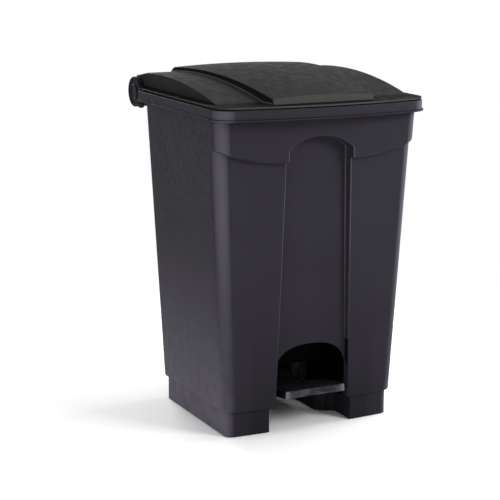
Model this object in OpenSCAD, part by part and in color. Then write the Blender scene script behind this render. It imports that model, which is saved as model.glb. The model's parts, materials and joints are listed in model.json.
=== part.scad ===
// Step-on waste container: a moulded body on two feet, a rear-hinged lid, and a pedal lever
// that lifts the lid through a rod behind the rear wall.
// Millimetres, +Z up, front towards -Y, origin at the centre of the box on the floor.

/* [Overall size] */
// Width over the lip of the rim
overall_w = 400; // [396:1:410]
// Depth from the lip of the rim to the back of the lid hinge
overall_d = 406.4; // [404.4:0.4:410.4]
// Height of the crown of the closed lid
overall_h = 603.25; // [603.25:0.25:612]

/* [Body] */
// Set-back of the side walls above the plinth from the lip of the rim
side_set_low = 36.5; // [34:0.5:40]
// Set-back of the side walls at the rim from the lip of the rim
side_set_top = 10; // [9:0.5:13]
// Set-back of the pillars above the plinth from the lip of the rim
front_set_low = 54.6; // [53.2:0.2:57]
// Set-back of the pillars at the rim from the lip of the rim
front_set_top = 42.2; // [41:0.2:44]
// Set-back of the rear wall above the plinth from the back of the hinge barrel
rear_set_low = 82.8; // [81.6:0.2:84]
// Set-back of the rear wall at the rim from the back of the hinge barrel
rear_set_top = 64.2; // [63.4:0.2:65]
// Height of the plinth that forms the feet
plinth_h = 44; // [40:1:50]
// Set-back of the plinth from the body above it
plinth_inset = 6.2; // [4:0.2:8]
// Thickness of the moulded walls
wall = 3; // [2.6:0.1:3.4]
// Outward bow of the front face
front_bow = 5; // [3:0.5:7]

/* [Front] */
// Half width of the front channel at the floor
channel_half_low = 71; // [69:0.5:73]
// Half width of the front channel where its arch starts
channel_half_top = 60; // [57:0.5:63]
// Distance from the top of the rim down to the start of the channel's arch
arch_drop = 72.5; // [67:0.5:78]
// Rise of the arch of the front channel
channel_rise = 21; // [16:1:26]
// Depth of the channel behind the pillars near the floor
channel_depth_low = 11; // [9:0.5:13]
// Depth of the channel behind the pillars at its top
channel_depth_top = 17; // [14:0.5:19]
// How far the yoke under the rim stands out from the pillars
yoke_step = 9.4; // [7:0.2:11]
// Distance from the top of the rim down to the lowest point of the yoke
yoke_drop = 92.5; // [88:0.5:98]
// Depth of the soft recess round the arch
relief_depth = 0.8; // [0.4:0.1:1.2]
// Half width of the toe opening above the pedal
toe_half = 68; // [66:0.5:69]
// Height of the crown of the toe opening
toe_top_z = 147; // [142:1:152]

/* [Rim] */
// Distance from the crown of the lid down to the top face of the rim
crown_rise = 44.75; // [44.25:0.25:47.25]
// Height of the rim band
rim_h = 18.5; // [17:0.5:20]
// Outward bow of the front of the rim
rim_bow = 21.8; // [18:0.2:24]
// How far the lip stands out from the rim band
lip = 2.5; // [1.5:0.5:3.5]

/* [Lid] */
// Thickness of the lid shell
lid_wall = 2.8; // [2.4:0.1:3.2]
// Clear height between the rim and the closed lid
lid_gap = 1.7; // [1.5:0.1:2]
// Distance from the crown of the lid down to the crest of the dome
dome_drop = 11.95; // [9.5:0.05:14.5]
// Distance from the top of the flange down to the front end of the dome
dome_sink = 2.3; // [1.8:0.1:2.6]
// Set-back of the side walls of the dome from the lip of the rim
dome_set = 20; // [19.5:0.5:24]
// Half width of the raised panel on the cross axis
panel_half = 110; // [104:1:114]
// Widening of the raised panel for each millimetre towards the hinge
panel_flare = 0.097; // [0.08:0.001:0.11]
// Crown of the raised panel from edge to middle
panel_crown = 3.75; // [2:0.25:5]
// Opening angle of the lid
lid_open = 78; // [74:1:78]

/* [Hinge] */
// Radius of the hinge barrel at the back of the lid
barrel_r = 29.5; // [29:0.1:30]
// Distance from the top of the rim down to the hinge axis
hinge_drop = 5.8; // [4.5:0.1:6.5]
// Set-back of the outer faces of the hinge eyes from the lip of the rim
eye_set = 9; // [8:0.5:11]
// Radius of the hinge eyes at the ends of the barrel
eye_r = 26.5; // [25:0.5:27.5]
// Thickness of the hinge eyes
eye_t = 10; // [8:0.5:10]
// Diameter of the hinge rod
hinge_rod_d = 8; // [7:0.5:9]

/* [Pedal] */
// Width of the pedal
pedal_w = 117; // [110:1:120]
// Depth of the pedal from front to back
pedal_d = 68; // [60:1:72]
// Height of the front lip of the pedal
pedal_lip = 13; // [12:0.5:14]
// How far the pedal stands out from the pillars above the plinth
pedal_out = 10.93; // [9:0.01:12]
// Distance of the pivot in front of the centre
pivot_front = 22.6; // [22:0.2:24]
// Height of the pivot
pivot_z = 44; // [43:0.5:46]
// Upward tilt of the lever at rest
rest_tilt = 7.15; // [6.75:0.05:7.4]
// Downward swing of the pedal
press_angle = 19.5; // [19:0.1:19.6]
// Diameter of the pivot rod
pivot_rod_d = 8; // [7:0.5:8.5]

/* [Lift rod] */
// Diameter of the lift rod
lift_rod_d = 8; // [7:0.5:9]
// Depth of the groove for the lift rod in the rear wall
groove_depth = 22; // [21:0.5:23]
// Half width of that groove
groove_half = 24; // [23.5:0.5:26]
// Diameter of the pins at both ends of the lift rod
link_pin_d = 6; // [5:0.5:6.5]

/* [Fits] */
// Radial clearance of a shaft in its bore
running_clear = 0.05; // [0.02:0.01:0.09]
// Clearance of a link pin above and below it in its slot
slot_clear = 1.1; // [1.05:0.05:1.3]
// Clear distance between pieces that move past each other
part_clear = 0.4; // [0.35:0.05:0.6]

/* [Hidden] */

$fn = 48;
eps = 0.01;
far = 400;

body_colour = "#38363c";
lid_colour = "#2b2a2a";
steel_colour = "#9a9ca0";
nylon_colour = "#1d1d1f";
rubber_colour = "#141414";

// Body
half_depth = overall_d / 2;
rim_top_z = overall_h - crown_rise;
body_w_low = overall_w - 2 * side_set_low;
body_w_top = overall_w - 2 * side_set_top;
front_low = half_depth - front_set_low;
front_top = half_depth - front_set_top;
rear_low = half_depth - rear_set_low;
rear_top = half_depth - rear_set_top;
corner_low_r = 19.3;
corner_top_r = 25;
floor_t = 4;
step_chamfer = 3;
rim_low_z = rim_top_z - rim_h;
rim_half = overall_w / 2 - lip;
rim_front = half_depth - lip;
rim_back = half_depth - 2 * barrel_r - 1.2;
rim_corner_r = 30;
rim_back_r = 7;
lip_h = 3;

// Front
channel_spring_z = rim_top_z - arch_drop;
yoke_low_z = rim_top_z - yoke_drop;
yoke_depth = 62;
toe_depth = 68.6;
toe_back = toe_depth - front_low;
toe_power = 0.8;
toe_spring_z = 95;
yoke_mid = 65;
yoke_curve_r = 300;
foot_gap_front = 79;
foot_gap_back = 48;
curve_depth = 55.6;
curve_start = curve_depth - front_low;
curve_length = 28;
tunnel_reach = 2.6;
tunnel_back = rear_low - groove_depth + tunnel_reach;
tunnel_top_z = 96;
relief_half = 72;
relief_rise = 57;
relief_power = 2.5;

// Lid
flange_z = rim_top_z + lid_gap;
flange_t = 3;
flange_top_z = flange_z + flange_t;
flange_inset = 1;
dome_half = overall_w / 2 - dome_set;
dome_z = overall_h - dome_drop;
dome_crest_inset = 68;
dome_front_inset = 47.7;
dome_back_inset = 3;
dome_y = rim_back - dome_crest_inset;
dome_front = dome_front_inset - rim_front;
dome_back = rim_back - dome_back_inset;
dome_r = bend_radius(dome_y - dome_front, dome_z - flange_top_z + dome_sink);
panel_front_inset = 31.7;
panel_crest_inset = 78;
panel_tail = 9;
panel_fall = 14;
panel_front = panel_front_inset - rim_front;
panel_back = rim_back + panel_tail;
panel_y = rim_back - panel_crest_inset;
panel_edge_z = overall_h - panel_crown;
panel_face_h = 8.5;
panel_r = bend_radius(panel_y - panel_front, panel_edge_z - flange_top_z - panel_face_h);
panel_slope = 3.5;
panel_toe = 4.3;
tie_w = 18;
tie_inset = 20;
buffer_x = dome_half - 30;
buffer_inset = 10;
buffer_bow_inset = 30.7;

// Hinge
hinge_y = half_depth - barrel_r;
hinge_z = rim_top_z - hinge_drop;
eye_face = overall_w / 2 - eye_set;
eye_in = eye_face - eye_t;
end_clear = 0.6;
barrel_half = eye_in - end_clear;
barrel_wall = 3;
barrel_from = -70;
barrel_to = 150;
knuckle_r = barrel_r - barrel_wall + 0.5;
knuckle_t = 6;
knuckle_x = [60, eye_in - 41];
ear_t = 8;
ear_x = [knuckle_x[0] + knuckle_t + part_clear, knuckle_x[1] + knuckle_t + part_clear];
ear_r = 11;
rod_end_set = 4;
hinge_rod_half = eye_face - rod_end_set;
eye_recess = 1.5;
eye_rim = 3.5;
plug_r = 13;
plug_t = 1.9;

// Lift rod, parallel to the rear wall
wall_tilt = atan((rear_top - rear_low) / (rim_low_z - plinth_h));
rod_y = rear_low - 7.4;
pin_lead = 1.33;

// Link
front_arm = (front_low + pedal_out - pivot_front) / cos(rest_tilt);
rear_arm = (rod_y + pin_lead + pivot_front) / cos(rest_tilt);
rod_travel = rear_arm * (sin(rest_tilt) + sin(press_angle - rest_tilt));
lug_arm = rod_travel / (2 * sin(lid_open / 2));
lug_half = 4.5;
lug_y = hinge_y - lug_arm * cos(lid_open / 2);
lug_z = hinge_z - rod_travel / 2;

// Pedal
pivot_y = -pivot_front;
lever_half = 20;
lever_t = 2.5;
lever_hub_r = 9;
lever_eye_r = 7.5;
web_z = 6;
web_top = web_z + lever_t;
pad_wall = 3;
pad_gap = 1.5;
pad_top = web_top + pad_gap + pad_wall;
pad_front = -front_arm;
pad_back = pad_front + pedal_d;
rib_count = 6;
rib_pitch = 9;
rib_inset = 6;
rib_w = 3;
rib_h = 0.8;
bush_r = 5;
spacer_r = 6.5;
bracket_x = 36;
bracket_r = 11;
bracket_half = 17;
bracket_top_z = 84;
bracket_screw_z = 72;
bracket_screw_y = 10;
screw_r = 2;
screw_head_r = 3.8;
screw_head_t = 2.4;

// Rod ends and guides
pin_rest_y = pivot_y + rear_arm * cos(rest_tilt);
pin_rest_z = pivot_z - rear_arm * sin(rest_tilt);
pin_slot_r = link_pin_d / 2 + slot_clear;
rod_low = -6;
foot_wall = 5;
foot_half = 13;
fork_base = 9;
fork_half = 11;
fork_wall = 2.6;
fork_top_z = lug_z - 16.65;
fork_low_z = fork_top_z - fork_base;
rod_high = (fork_top_z - 1 - plinth_h) / cos(wall_tilt);
rod_top_y = rod_y + rod_high * sin(wall_tilt);
fork_front = rod_top_y - 9.5;
fork_slot_front = lug_y - rod_travel * tan(wall_tilt) / 2 - lug_arm * (1 - cos(lid_open / 2)) - 0.6;
fork_slot_back = lug_y + 0.4;
fork_back = fork_slot_back + pin_slot_r + fork_wall;
floor_back = rod_y - (rear_low - groove_depth);
guide_h = 16;
guide_proud = 8;
guide_low = 130;
guide_drop = 96;
guide_high = rim_low_z - plinth_h - guide_drop;
guide_screw_x = 16;
guide_seat = 6;
boss_h = 10;
boss_r = 5;
screw_bite = 6;

// ---- Plan outlines and solids built from them ----

// Radius of an arc that falls by a given amount over a given reach
function bend_radius(reach, fall) = (reach * reach + fall * fall) / (2 * fall);

function arc(cx, cy, r, a0, a1, n) =
    [for (i = [0:n]) let (a = a0 + (a1 - a0) * i / n) [cx + r * cos(a), cy + r * sin(a)]];

function bowed(p, half, y_side, bow) =
    p[1] < y_side ? [p[0], p[1] - bow * (1 - pow(p[0] / half, 2))] : p;

// Rounded rectangle, anticlockwise, whose front edge bows outwards and whose rear corners have radius rb
function outline(half, front, back, r, bow, rb) =
    let (y0 = -front + bow)
    [for (p = concat(arc(half - rb, back - rb, rb, 0, 90, 6),
                     arc(rb - half, back - rb, rb, 90, 180, 6),
                     arc(r - half, y0 + r, r, 180, 270, 6),
                     [for (i = [1:9]) [(half - r) * (i / 5 - 1), y0]],
                     arc(half - r, y0 + r, r, 270, 360, 6)))
        bowed(p, half, y0 + r + eps, bow)];

function at(points, z) = [for (p = points) [p[0], p[1], z]];

// Closed solid through rings of equal length, each ring clockwise seen from its start
module skin(rings) {
    n = len(rings[0]);
    m = len(rings);
    faces = concat([[for (i = [0:n - 1]) i]],
                   [[for (i = [n - 1:-1:0]) (m - 1) * n + i]],
                   [for (k = [0:m - 2], i = [0:n - 1]) let (a = k * n, b = a + n, j = (i + 1) % n)
                       each [[a + i, b + i, b + j], [a + i, b + j, a + j]]]);
    polyhedron(points = [for (ring = rings, p = ring) p], faces = faces, convexity = 10);
}

module xz_prism(points, y0, y1) {
    translate([0, y1, 0]) rotate([90, 0, 0]) linear_extrude(y1 - y0) polygon(points);
}

module yz_prism(points, x0, x1) {
    translate([x0, 0, 0]) rotate([90, 0, 90]) linear_extrude(x1 - x0) polygon(points);
}

module x_cylinder(y, z, r, x0, x1) {
    translate([x0, y, z]) rotate([0, 90, 0]) cylinder(r = r, h = x1 - x0);
}

module both_sides() {
    children();
    mirror([1, 0, 0]) children();
}

// ---- Body ----

function along(z, low, top) = low + (top - low) * (z - plinth_h) / (rim_low_z - plinth_h);
function body_half(z) = along(z, body_w_low, body_w_top) / 2;
function body_front(z) = along(z, front_low, front_top);
function body_back(z) = along(z, rear_low, rear_top);
function body_plan(z, e) =
    let (r = along(z, corner_low_r, corner_top_r) - e)
    outline(body_half(z) - e, body_front(z) - e, body_back(z) - e, r, front_bow, r);
function plinth_plan(e) =
    let (r = corner_low_r - plinth_inset - e)
    outline(body_w_low / 2 - plinth_inset - e, front_low - plinth_inset - e, rear_low - plinth_inset - e,
            r, front_bow, r);
function yoke_plan(z, e) =
    outline(body_half(z) - 0.4 - e, body_front(z) + yoke_step - e, yoke_depth - body_front(z), corner_top_r - e,
            front_bow, corner_top_r - e);
function rim_plan(e) =
    outline(rim_half - e, rim_front - e, rim_back - e, rim_corner_r - e, rim_bow, max(rim_back_r - e, 2));

function yoke_edge(x) = yoke_low_z + pow(max(abs(x) - yoke_mid, 0), 2) / (2 * yoke_curve_r);

module yoke(e) {
    z0 = yoke_low_z - 10;
    intersection() {
        skin([at(yoke_plan(z0, e), z0), at(yoke_plan(rim_top_z - e, e), rim_top_z - e)]);
        xz_prism(concat([for (i = [-20:20]) let (x = i * overall_w / 40) [x, yoke_edge(x) + e]],
                        [[overall_w / 2, far * 2], [-overall_w / 2, far * 2]]), -far, 0);
    }
}

// Space in front of the channel between the pillars, grown by e
module front_channel(e) {
    rise_r = (pow(channel_half_top, 2) + pow(channel_rise, 2)) / (2 * channel_rise);
    arch_a = asin(channel_half_top / rise_r);
    centre_z = channel_spring_z + channel_rise - rise_r;
    top_z = channel_spring_z + channel_rise;
    intersection() {
        xz_prism(concat([[-channel_half_low - e, -10], [channel_half_low + e, -10]],
                        arc(0, centre_z, rise_r + e, 90 - arch_a, 90 + arch_a, 16)), -far, 0);
        yz_prism([[-far, -20], [-body_front(0) + channel_depth_low + e, -20],
                  [-body_front(top_z) + channel_depth_top + e, top_z + e + 1], [-far, top_z + e + 1]],
                 -far, far);
    }
}

function toe_arch(e) =
    [for (i = [0:24]) let (a = 7.5 * i, c = cos(a))
        [sign(c) * (toe_half + e) * pow(abs(c), toe_power),
         toe_spring_z + (toe_top_z + e - toe_spring_z) * pow(sin(a), toe_power)]];

function foot_curve(e) =
    let (mid = (foot_gap_front + foot_gap_back) / 2, swing = (foot_gap_front - foot_gap_back) / 2)
    [for (i = [0:12]) [mid + e + swing * cos(15 * i), curve_start + curve_length * i / 12]];

// Toe space, the gap between the feet and the lever tunnel behind it, grown by e
module pedal_tunnel(e) {
    side = concat([[foot_gap_front + e, -far]], foot_curve(e), [[foot_gap_back + e, tunnel_back + e]]);
    other = [for (i = [len(side) - 1:-1:0]) [-side[i][0], side[i][1]]];
    translate([0, 0, -10]) linear_extrude(plinth_h + 10 + e) polygon(concat(side, other));
    xz_prism(concat([[-toe_half - e, -10], [toe_half + e, -10]], toe_arch(e)), -far, toe_back + e);
    translate([-foot_gap_back - e, toe_back - 1, -10])
        cube([2 * (foot_gap_back + e), tunnel_back - toe_back + 1 + e, tunnel_top_z + 10 + e]);
}

// Groove for the lift rod in the rear wall, grown by e
module rod_groove(e) {
    yz_prism([[body_back(-10) - groove_depth - e, -10], [far, -10], [far, far * 2],
              [body_back(far * 2) - groove_depth - e, far * 2]], -groove_half - e, groove_half + e);
}

// Soft recess in the face of the yoke round the arch
module arch_relief() {
    low = yoke_low_z + 4;
    difference() {
        xz_prism([for (i = [0:24]) let (a = 7.5 * i, c = cos(a))
                      [sign(c) * relief_half * pow(abs(c), 2 / relief_power),
                       low + relief_rise * pow(sin(a), 2 / relief_power)]], -far, -front_top + 20);
        skin([at(yoke_plan(low - 20, relief_depth), low - 20),
              at(yoke_plan(rim_top_z, relief_depth), rim_top_z)]);
    }
}

module body_outside() {
    z1 = plinth_h + step_chamfer;
    skin([at(plinth_plan(0), 0), at(plinth_plan(0), z1)]);
    skin([at(body_plan(plinth_h, step_chamfer), plinth_h), at(body_plan(z1, 0), z1),
          at(body_plan(rim_top_z, 0), rim_top_z)]);
    yoke(0);
    rim();
}

module rim() {
    difference() {
        union() {
            translate([0, 0, rim_low_z]) linear_extrude(rim_h) polygon(rim_plan(0));
            translate([0, 0, rim_low_z]) linear_extrude(lip_h) polygon(rim_plan(-lip));
        }
        translate([0, 0, rim_low_z - 1]) linear_extrude(rim_h - wall + 1) polygon(rim_plan(wall));
    }
}

module container_space() {
    z1 = plinth_h + wall;
    difference() {
        union() {
            skin([at(plinth_plan(wall), floor_t), at(plinth_plan(wall), z1 + 1)]);
            skin([at(body_plan(z1, wall), z1), at(body_plan(rim_top_z + 1, wall), rim_top_z + 1)]);
            yoke(wall);
        }
        front_channel(wall);
        pedal_tunnel(wall);
        rod_groove(wall);
    }
}

// Eye at the end of the rim, with a ring sunk into its outer face
module hinge_eye() {
    root = rim_back - rim_back_r;
    difference() {
        union() {
            x_cylinder(hinge_y, hinge_z, eye_r, eye_in, eye_face, $fn = 96);
            translate([0, 0, rim_low_z]) linear_extrude(rim_h)
                polygon([[eye_in, root], [rim_half, root], [eye_face, rim_back + rim_back_r],
                         [eye_face, hinge_y], [eye_in, hinge_y]]);
        }
        x_cylinder(hinge_y, hinge_z, eye_r - eye_rim, eye_face - eye_recess, eye_face + 1, $fn = 96);
    }
}

// Ears behind the rim that hold the hinge rod
module hinge_ear(x) {
    root = rim_back - 10;
    yz_prism([[root, rim_low_z], [hinge_y, hinge_z - ear_r], [hinge_y, hinge_z + ear_r], [rim_back, rim_top_z],
              [root, rim_top_z]], x, x + ear_t);
    x_cylinder(hinge_y, hinge_z, ear_r, x, x + ear_t);
}

module at_rod() {
    translate([0, rod_y, plinth_h]) rotate([-wall_tilt, 0, 0]) children();
}

module guide_screw_points(z) {
    for (s = [-1, 1])
        translate([s * guide_screw_x, -floor_back, z + guide_h / 2]) rotate([-90, 0, 0]) children();
}

module bracket_screw_points() {
    for (s = [-1, 1])
        translate([foot_gap_back, pivot_y + s * bracket_screw_y, bracket_screw_z])
            rotate([0, 90, 0]) children();
}

module body_shell() color(body_colour) {
    difference() {
        union() {
            difference() {
                body_outside();
                container_space();
            }
            both_sides() {
                for (x = ear_x) hinge_ear(x);
                hinge_eye();
                bracket_screw_points() cylinder(r = boss_r, h = boss_h + 1);
            }
            at_rod() for (z = [guide_low, guide_high])
                guide_screw_points(z) translate([0, 0, -boss_h - 1]) cylinder(r = boss_r, h = boss_h);
        }
        arch_relief();
        front_channel(0);
        pedal_tunnel(0);
        rod_groove(0);
        x_cylinder(hinge_y, hinge_z, hinge_rod_d / 2 + running_clear, -far, far);
        both_sides() bracket_screw_points() translate([0, 0, -1]) cylinder(r = screw_r, h = boss_h);
        at_rod() for (z = [guide_low, guide_high])
            guide_screw_points(z) translate([0, 0, 1 - boss_h]) cylinder(r = screw_r, h = boss_h);
    }
}

// ---- Lid and its hinge ----

function dome_at(y, e) = dome_z - dome_r + sqrt(pow(dome_r - e, 2) - pow(y - dome_y, 2));
function dome_line(y0, y1, e) = [for (i = [0:24]) let (y = y0 + (y1 - y0) * i / 24) [y, dome_at(y, e)]];
function deck_end(e) = [hinge_y + (barrel_r - e) * cos(80), hinge_z + (barrel_r - e) * sin(80)];

function lid_plan(e) =
    outline(rim_half - flange_inset - e, rim_front - flange_inset - e, rim_back - e,
            rim_corner_r - flange_inset - e, rim_bow, rim_back_r - e);

function panel_ring(y, z_edge, crown, e) =
    let (half = panel_half + panel_flare * y - e)
    concat([[-half - panel_slope, y, flange_z - e]],
           [for (i = [-6:6]) [half * i / 6, y, z_edge - e + crown * (1 - pow(i / 6, 2))]],
           [[half + panel_slope, y, flange_z - e]]);

function panel_z(y) = panel_edge_z - panel_r + sqrt(panel_r * panel_r - pow(y - panel_y, 2));

// Raised panel on the dome, shrunk by e
module panel_block(e) {
    y0 = panel_front + e;
    y1 = panel_back - e;
    skin(concat([panel_ring(y0 - panel_toe, flange_top_z, 0, e)],
                [for (i = [0:16]) let (y = y0 + (y1 - y0) * i / 16) panel_ring(y, panel_z(y), panel_crown, e)],
                [panel_ring(y1 + panel_fall, dome_at(y1, 0) - panel_tail, 0, e)]));
}

module dome_block(e) {
    yz_prism(concat([[dome_front + 2 * e, flange_z - e]], dome_line(dome_front + 2 * e, dome_back, e),
                    [deck_end(e), [hinge_y, hinge_z], [rim_back, flange_z - e]]),
             -dome_half + e, dome_half - e);
}

// Hollow under the dome, crossed by a tie between the sides of the flange
module lid_space() {
    difference() {
        union() {
            dome_block(lid_wall);
            panel_block(lid_wall);
        }
        translate([-far, rim_back - tie_inset, flange_z + 0.4]) cube([2 * far, tie_w, flange_t - 0.8]);
    }
}

module barrel_gap() {
    reach = barrel_r + end_clear;
    yz_prism(concat([[hinge_y, hinge_z]], [for (a = [barrel_to:10:360 + barrel_from])
                    [hinge_y + reach * cos(a), hinge_z + reach * sin(a)]]),
             -barrel_half + barrel_wall, barrel_half - barrel_wall);
}

module lug() {
    tip = [lug_y, lug_z];
    dir = [-cos(lid_open / 2), -sin(lid_open / 2)];
    side = [dir[1], -dir[0]];
    hub = [hinge_y, hinge_z];
    yz_prism([hub + side * 9, tip + side * 5.5, tip - side * 5.5, hub - side * 9], -lug_half, lug_half);
    x_cylinder(tip[0], tip[1], 5.5, -lug_half, lug_half);
    x_cylinder(hinge_y, hinge_z, 12, -lug_half, lug_half);
    yz_prism(concat([hub], [for (a = [-60:20:120]) hub + knuckle_r * [cos(a), sin(a)]]), -lug_half, lug_half);
}

module lid() color(lid_colour) {
    difference() {
        union() {
            difference() {
                union() {
                    translate([0, 0, flange_z]) linear_extrude(flange_t) polygon(lid_plan(0));
                    dome_block(0);
                    panel_block(0);
                    x_cylinder(hinge_y, hinge_z, barrel_r, -barrel_half, barrel_half, $fn = 96);
                }
                lid_space();
                x_cylinder(hinge_y, hinge_z, barrel_r - barrel_wall, -barrel_half + barrel_wall,
                           barrel_half - barrel_wall, $fn = 96);
                barrel_gap();
            }
            both_sides() for (x = knuckle_x) x_cylinder(hinge_y, hinge_z, knuckle_r, x, x + knuckle_t);
            lug();
        }
        x_cylinder(hinge_y, hinge_z, hinge_rod_d / 2 + running_clear, -far, far);
        x_cylinder(lug_y, lug_z, link_pin_d / 2, -far, far);
        for (p = buffer_points) translate([p[0], p[1], flange_z - 1]) cylinder(r = 2, h = 10);
    }
}

module hinge_rod() color(steel_colour) {
    x_cylinder(hinge_y, hinge_z, hinge_rod_d / 2, -hinge_rod_half, hinge_rod_half);
}

module hinge_plug() color(nylon_colour) {
    seat = eye_face - eye_recess;
    x_cylinder(hinge_y, hinge_z, plug_r, seat, seat + plug_t, $fn = 96);
    x_cylinder(hinge_y, hinge_z, hinge_rod_d / 2, hinge_rod_half + part_clear, seat + 1);
}

buffer_points = [for (x = [-buffer_x, buffer_x], y = [buffer_bow_inset - rim_front, rim_back - buffer_inset])
                 [x, y]];

// Soft buffers under the flange, one at each corner
module lid_buffers() color(rubber_colour) {
    for (p = buffer_points) translate([p[0], p[1], rim_top_z + part_clear]) {
        cylinder(r = 5, h = lid_gap - part_clear);
        cylinder(r = 2, h = lid_gap - part_clear + flange_t + 1);
    }
}

module lug_pin() color(steel_colour) {
    x_cylinder(lug_y, lug_z, link_pin_d / 2, -11, 11);
}

// ---- Pedal and lever ----

module at_lever() {
    translate([0, pivot_y, pivot_z]) rotate([-rest_tilt, 0, 0]) children();
}

module pedal_screw_points() {
    for (y = [pad_front + 22, pad_back - 14]) translate([0, y, 0]) children();
}

module rounded_box(x0, x1, y0, y1, z0, z1, r) {
    translate([0, 0, z0]) linear_extrude(z1 - z0)
        polygon(concat(arc(x1 - r, y1 - r, r, 0, 90, 6), arc(x0 + r, y1 - r, r, 90, 180, 6),
                       arc(x0 + r, y0 + r, r, 180, 270, 6), arc(x1 - r, y0 + r, r, 270, 360, 6)));
}

module pedal_pad() color(nylon_colour) at_lever() {
    half = pedal_w / 2;
    difference() {
        union() {
            difference() {
                rounded_box(-half, half, pad_front, pad_back, pad_top - pedal_lip, pad_top, 4);
                rounded_box(-half + pad_wall, half - pad_wall, pad_front + pad_wall, pad_back - pad_wall,
                            pad_top - pedal_lip - 1, pad_top - pad_wall, 2);
                translate([-lever_half - 1, pad_back - pad_wall - 1, pad_top - pedal_lip - 1])
                    cube([2 * lever_half + 2, pad_wall + 2, pedal_lip - pad_wall + 1]);
            }
            pedal_screw_points() translate([0, 0, web_top]) cylinder(r = 6, h = pad_gap + 1);
            for (i = [0:rib_count - 1]) translate([-half + rib_inset, pad_front + rib_pitch * (i + 1), pad_top - 0.5])
                cube([pedal_w - 2 * rib_inset, rib_w, rib_h + 0.5]);
        }
        pedal_screw_points() translate([0, 0, web_top - 1]) cylinder(r = screw_r, h = 1 + pad_gap + 2);
    }
}

module pedal_lever() color(steel_colour) at_lever() {
    front = pad_front + pad_wall + 4;
    web_back = rear_arm - 26;
    difference() {
        union() {
            both_sides() {
                yz_prism([[front, web_z - 4], [pad_back + 10, -7], [0, -lever_hub_r], [rear_arm, -lever_eye_r],
                          [rear_arm, lever_eye_r], [web_back, web_top], [front, web_top]],
                         lever_half - lever_t, lever_half);
                x_cylinder(0, 0, lever_hub_r, lever_half - lever_t, lever_half);
                x_cylinder(rear_arm, 0, lever_eye_r, lever_half - lever_t, lever_half);
            }
            translate([-lever_half, front, web_z]) cube([2 * lever_half, web_back - front, lever_t]);
        }
        x_cylinder(0, 0, bush_r, -far, far);
        x_cylinder(rear_arm, 0, link_pin_d / 2, -far, far);
        pedal_screw_points() cylinder(r = screw_r, h = 20);
    }
}

module pedal_screws() color(steel_colour) at_lever() pedal_screw_points() {
    translate([0, 0, web_z - screw_head_t]) cylinder(r = screw_head_r, h = screw_head_t);
    translate([0, 0, web_z - 1]) cylinder(r = screw_r, h = 1 + lever_t + pad_gap + pad_wall / 2);
}

module lever_bush() color(nylon_colour) at_lever() {
    difference() {
        union() {
            x_cylinder(0, 0, bush_r, lever_half - lever_t, lever_half + 1);
            x_cylinder(0, 0, spacer_r, lever_half, bracket_x - part_clear);
        }
        x_cylinder(0, 0, pivot_rod_d / 2 + running_clear, 0, far);
    }
}

module lever_pin() color(steel_colour) at_lever() {
    x_cylinder(rear_arm, 0, link_pin_d / 2, -lever_half - 2.2, lever_half + 2.2);
}

module lever_pin_clips() color(steel_colour) at_lever() both_sides() difference() {
    x_cylinder(rear_arm, 0, link_pin_d / 2 + 2.2, lever_half, lever_half + 1);
    x_cylinder(rear_arm, 0, link_pin_d / 2, lever_half - 1, lever_half + 2);
}

module pivot_rod() color(steel_colour) {
    x_cylinder(pivot_y, pivot_z, pivot_rod_d / 2, -foot_gap_back + 2, foot_gap_back - 2);
}

module pivot_bracket() color(nylon_colour) difference() {
    union() {
        x_cylinder(pivot_y, pivot_z, bracket_r, bracket_x, foot_gap_back);
        yz_prism([[pivot_y - bracket_r, pivot_z], [pivot_y + bracket_r, pivot_z], [pivot_y + bracket_half, 60],
                  [pivot_y + bracket_half, bracket_top_z], [pivot_y - bracket_half, bracket_top_z],
                  [pivot_y - bracket_half, 60]], bracket_x, foot_gap_back);
    }
    x_cylinder(pivot_y, pivot_z, pivot_rod_d / 2, bracket_x - 1, foot_gap_back - 2);
    bracket_screw_points() {
        translate([0, 0, -far]) cylinder(r = screw_r, h = 2 * far);
        translate([0, 0, bracket_x - foot_gap_back - 1])
            cylinder(r = screw_head_r + 0.2, h = 1 + screw_head_t + 0.6);
    }
}

module bracket_screws() color(steel_colour) both_sides() bracket_screw_points() {
    head = bracket_x - foot_gap_back + 0.6;
    translate([0, 0, head]) cylinder(r = screw_head_r, h = screw_head_t);
    translate([0, 0, head + 1]) cylinder(r = screw_r, h = foot_gap_back - bracket_x + screw_bite);
}

// ---- Lift rod ----

module lift_rod() color(steel_colour) at_rod() {
    translate([0, 0, rod_low]) cylinder(r = lift_rod_d / 2, h = rod_high - rod_low);
}

// Slot along Y for a link pin, from y0 to y1
module pin_slot(y0, y1, z) {
    x_cylinder(y0, z, pin_slot_r, -far, far);
    x_cylinder(y1, z, pin_slot_r, -far, far);
    translate([-far, y0, z - pin_slot_r]) cube([2 * far, y1 - y0, 2 * pin_slot_r]);
}

module rod_foot() color(nylon_colour) difference() {
    low = pin_rest_z - pin_slot_r - foot_wall;
    translate([-foot_half, rod_y - 10, low]) cube([2 * foot_half, 19, plinth_h + 4 - low]);
    pin_slot(pin_rest_y - 4.2, pin_rest_y + 0.6, pin_rest_z);
    at_rod() translate([0, 0, rod_low]) cylinder(r = lift_rod_d / 2, h = far);
}

module rod_fork() color(nylon_colour) difference() {
    tine_in = lug_half + part_clear;
    tine_front = fork_slot_front - pin_slot_r - 2;
    union() {
        translate([-fork_half, fork_front, fork_low_z])
            cube([2 * fork_half, fork_back - fork_front, fork_base]);
        both_sides() translate([tine_in, tine_front, fork_top_z - 1])
            cube([fork_half - tine_in, fork_back - tine_front, lug_z + pin_slot_r + 5 - fork_top_z + 1]);
    }
    pin_slot(fork_slot_front, fork_slot_back, lug_z);
    at_rod() translate([0, 0, -far]) cylinder(r = lift_rod_d / 2, h = far + rod_high);
}

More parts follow.
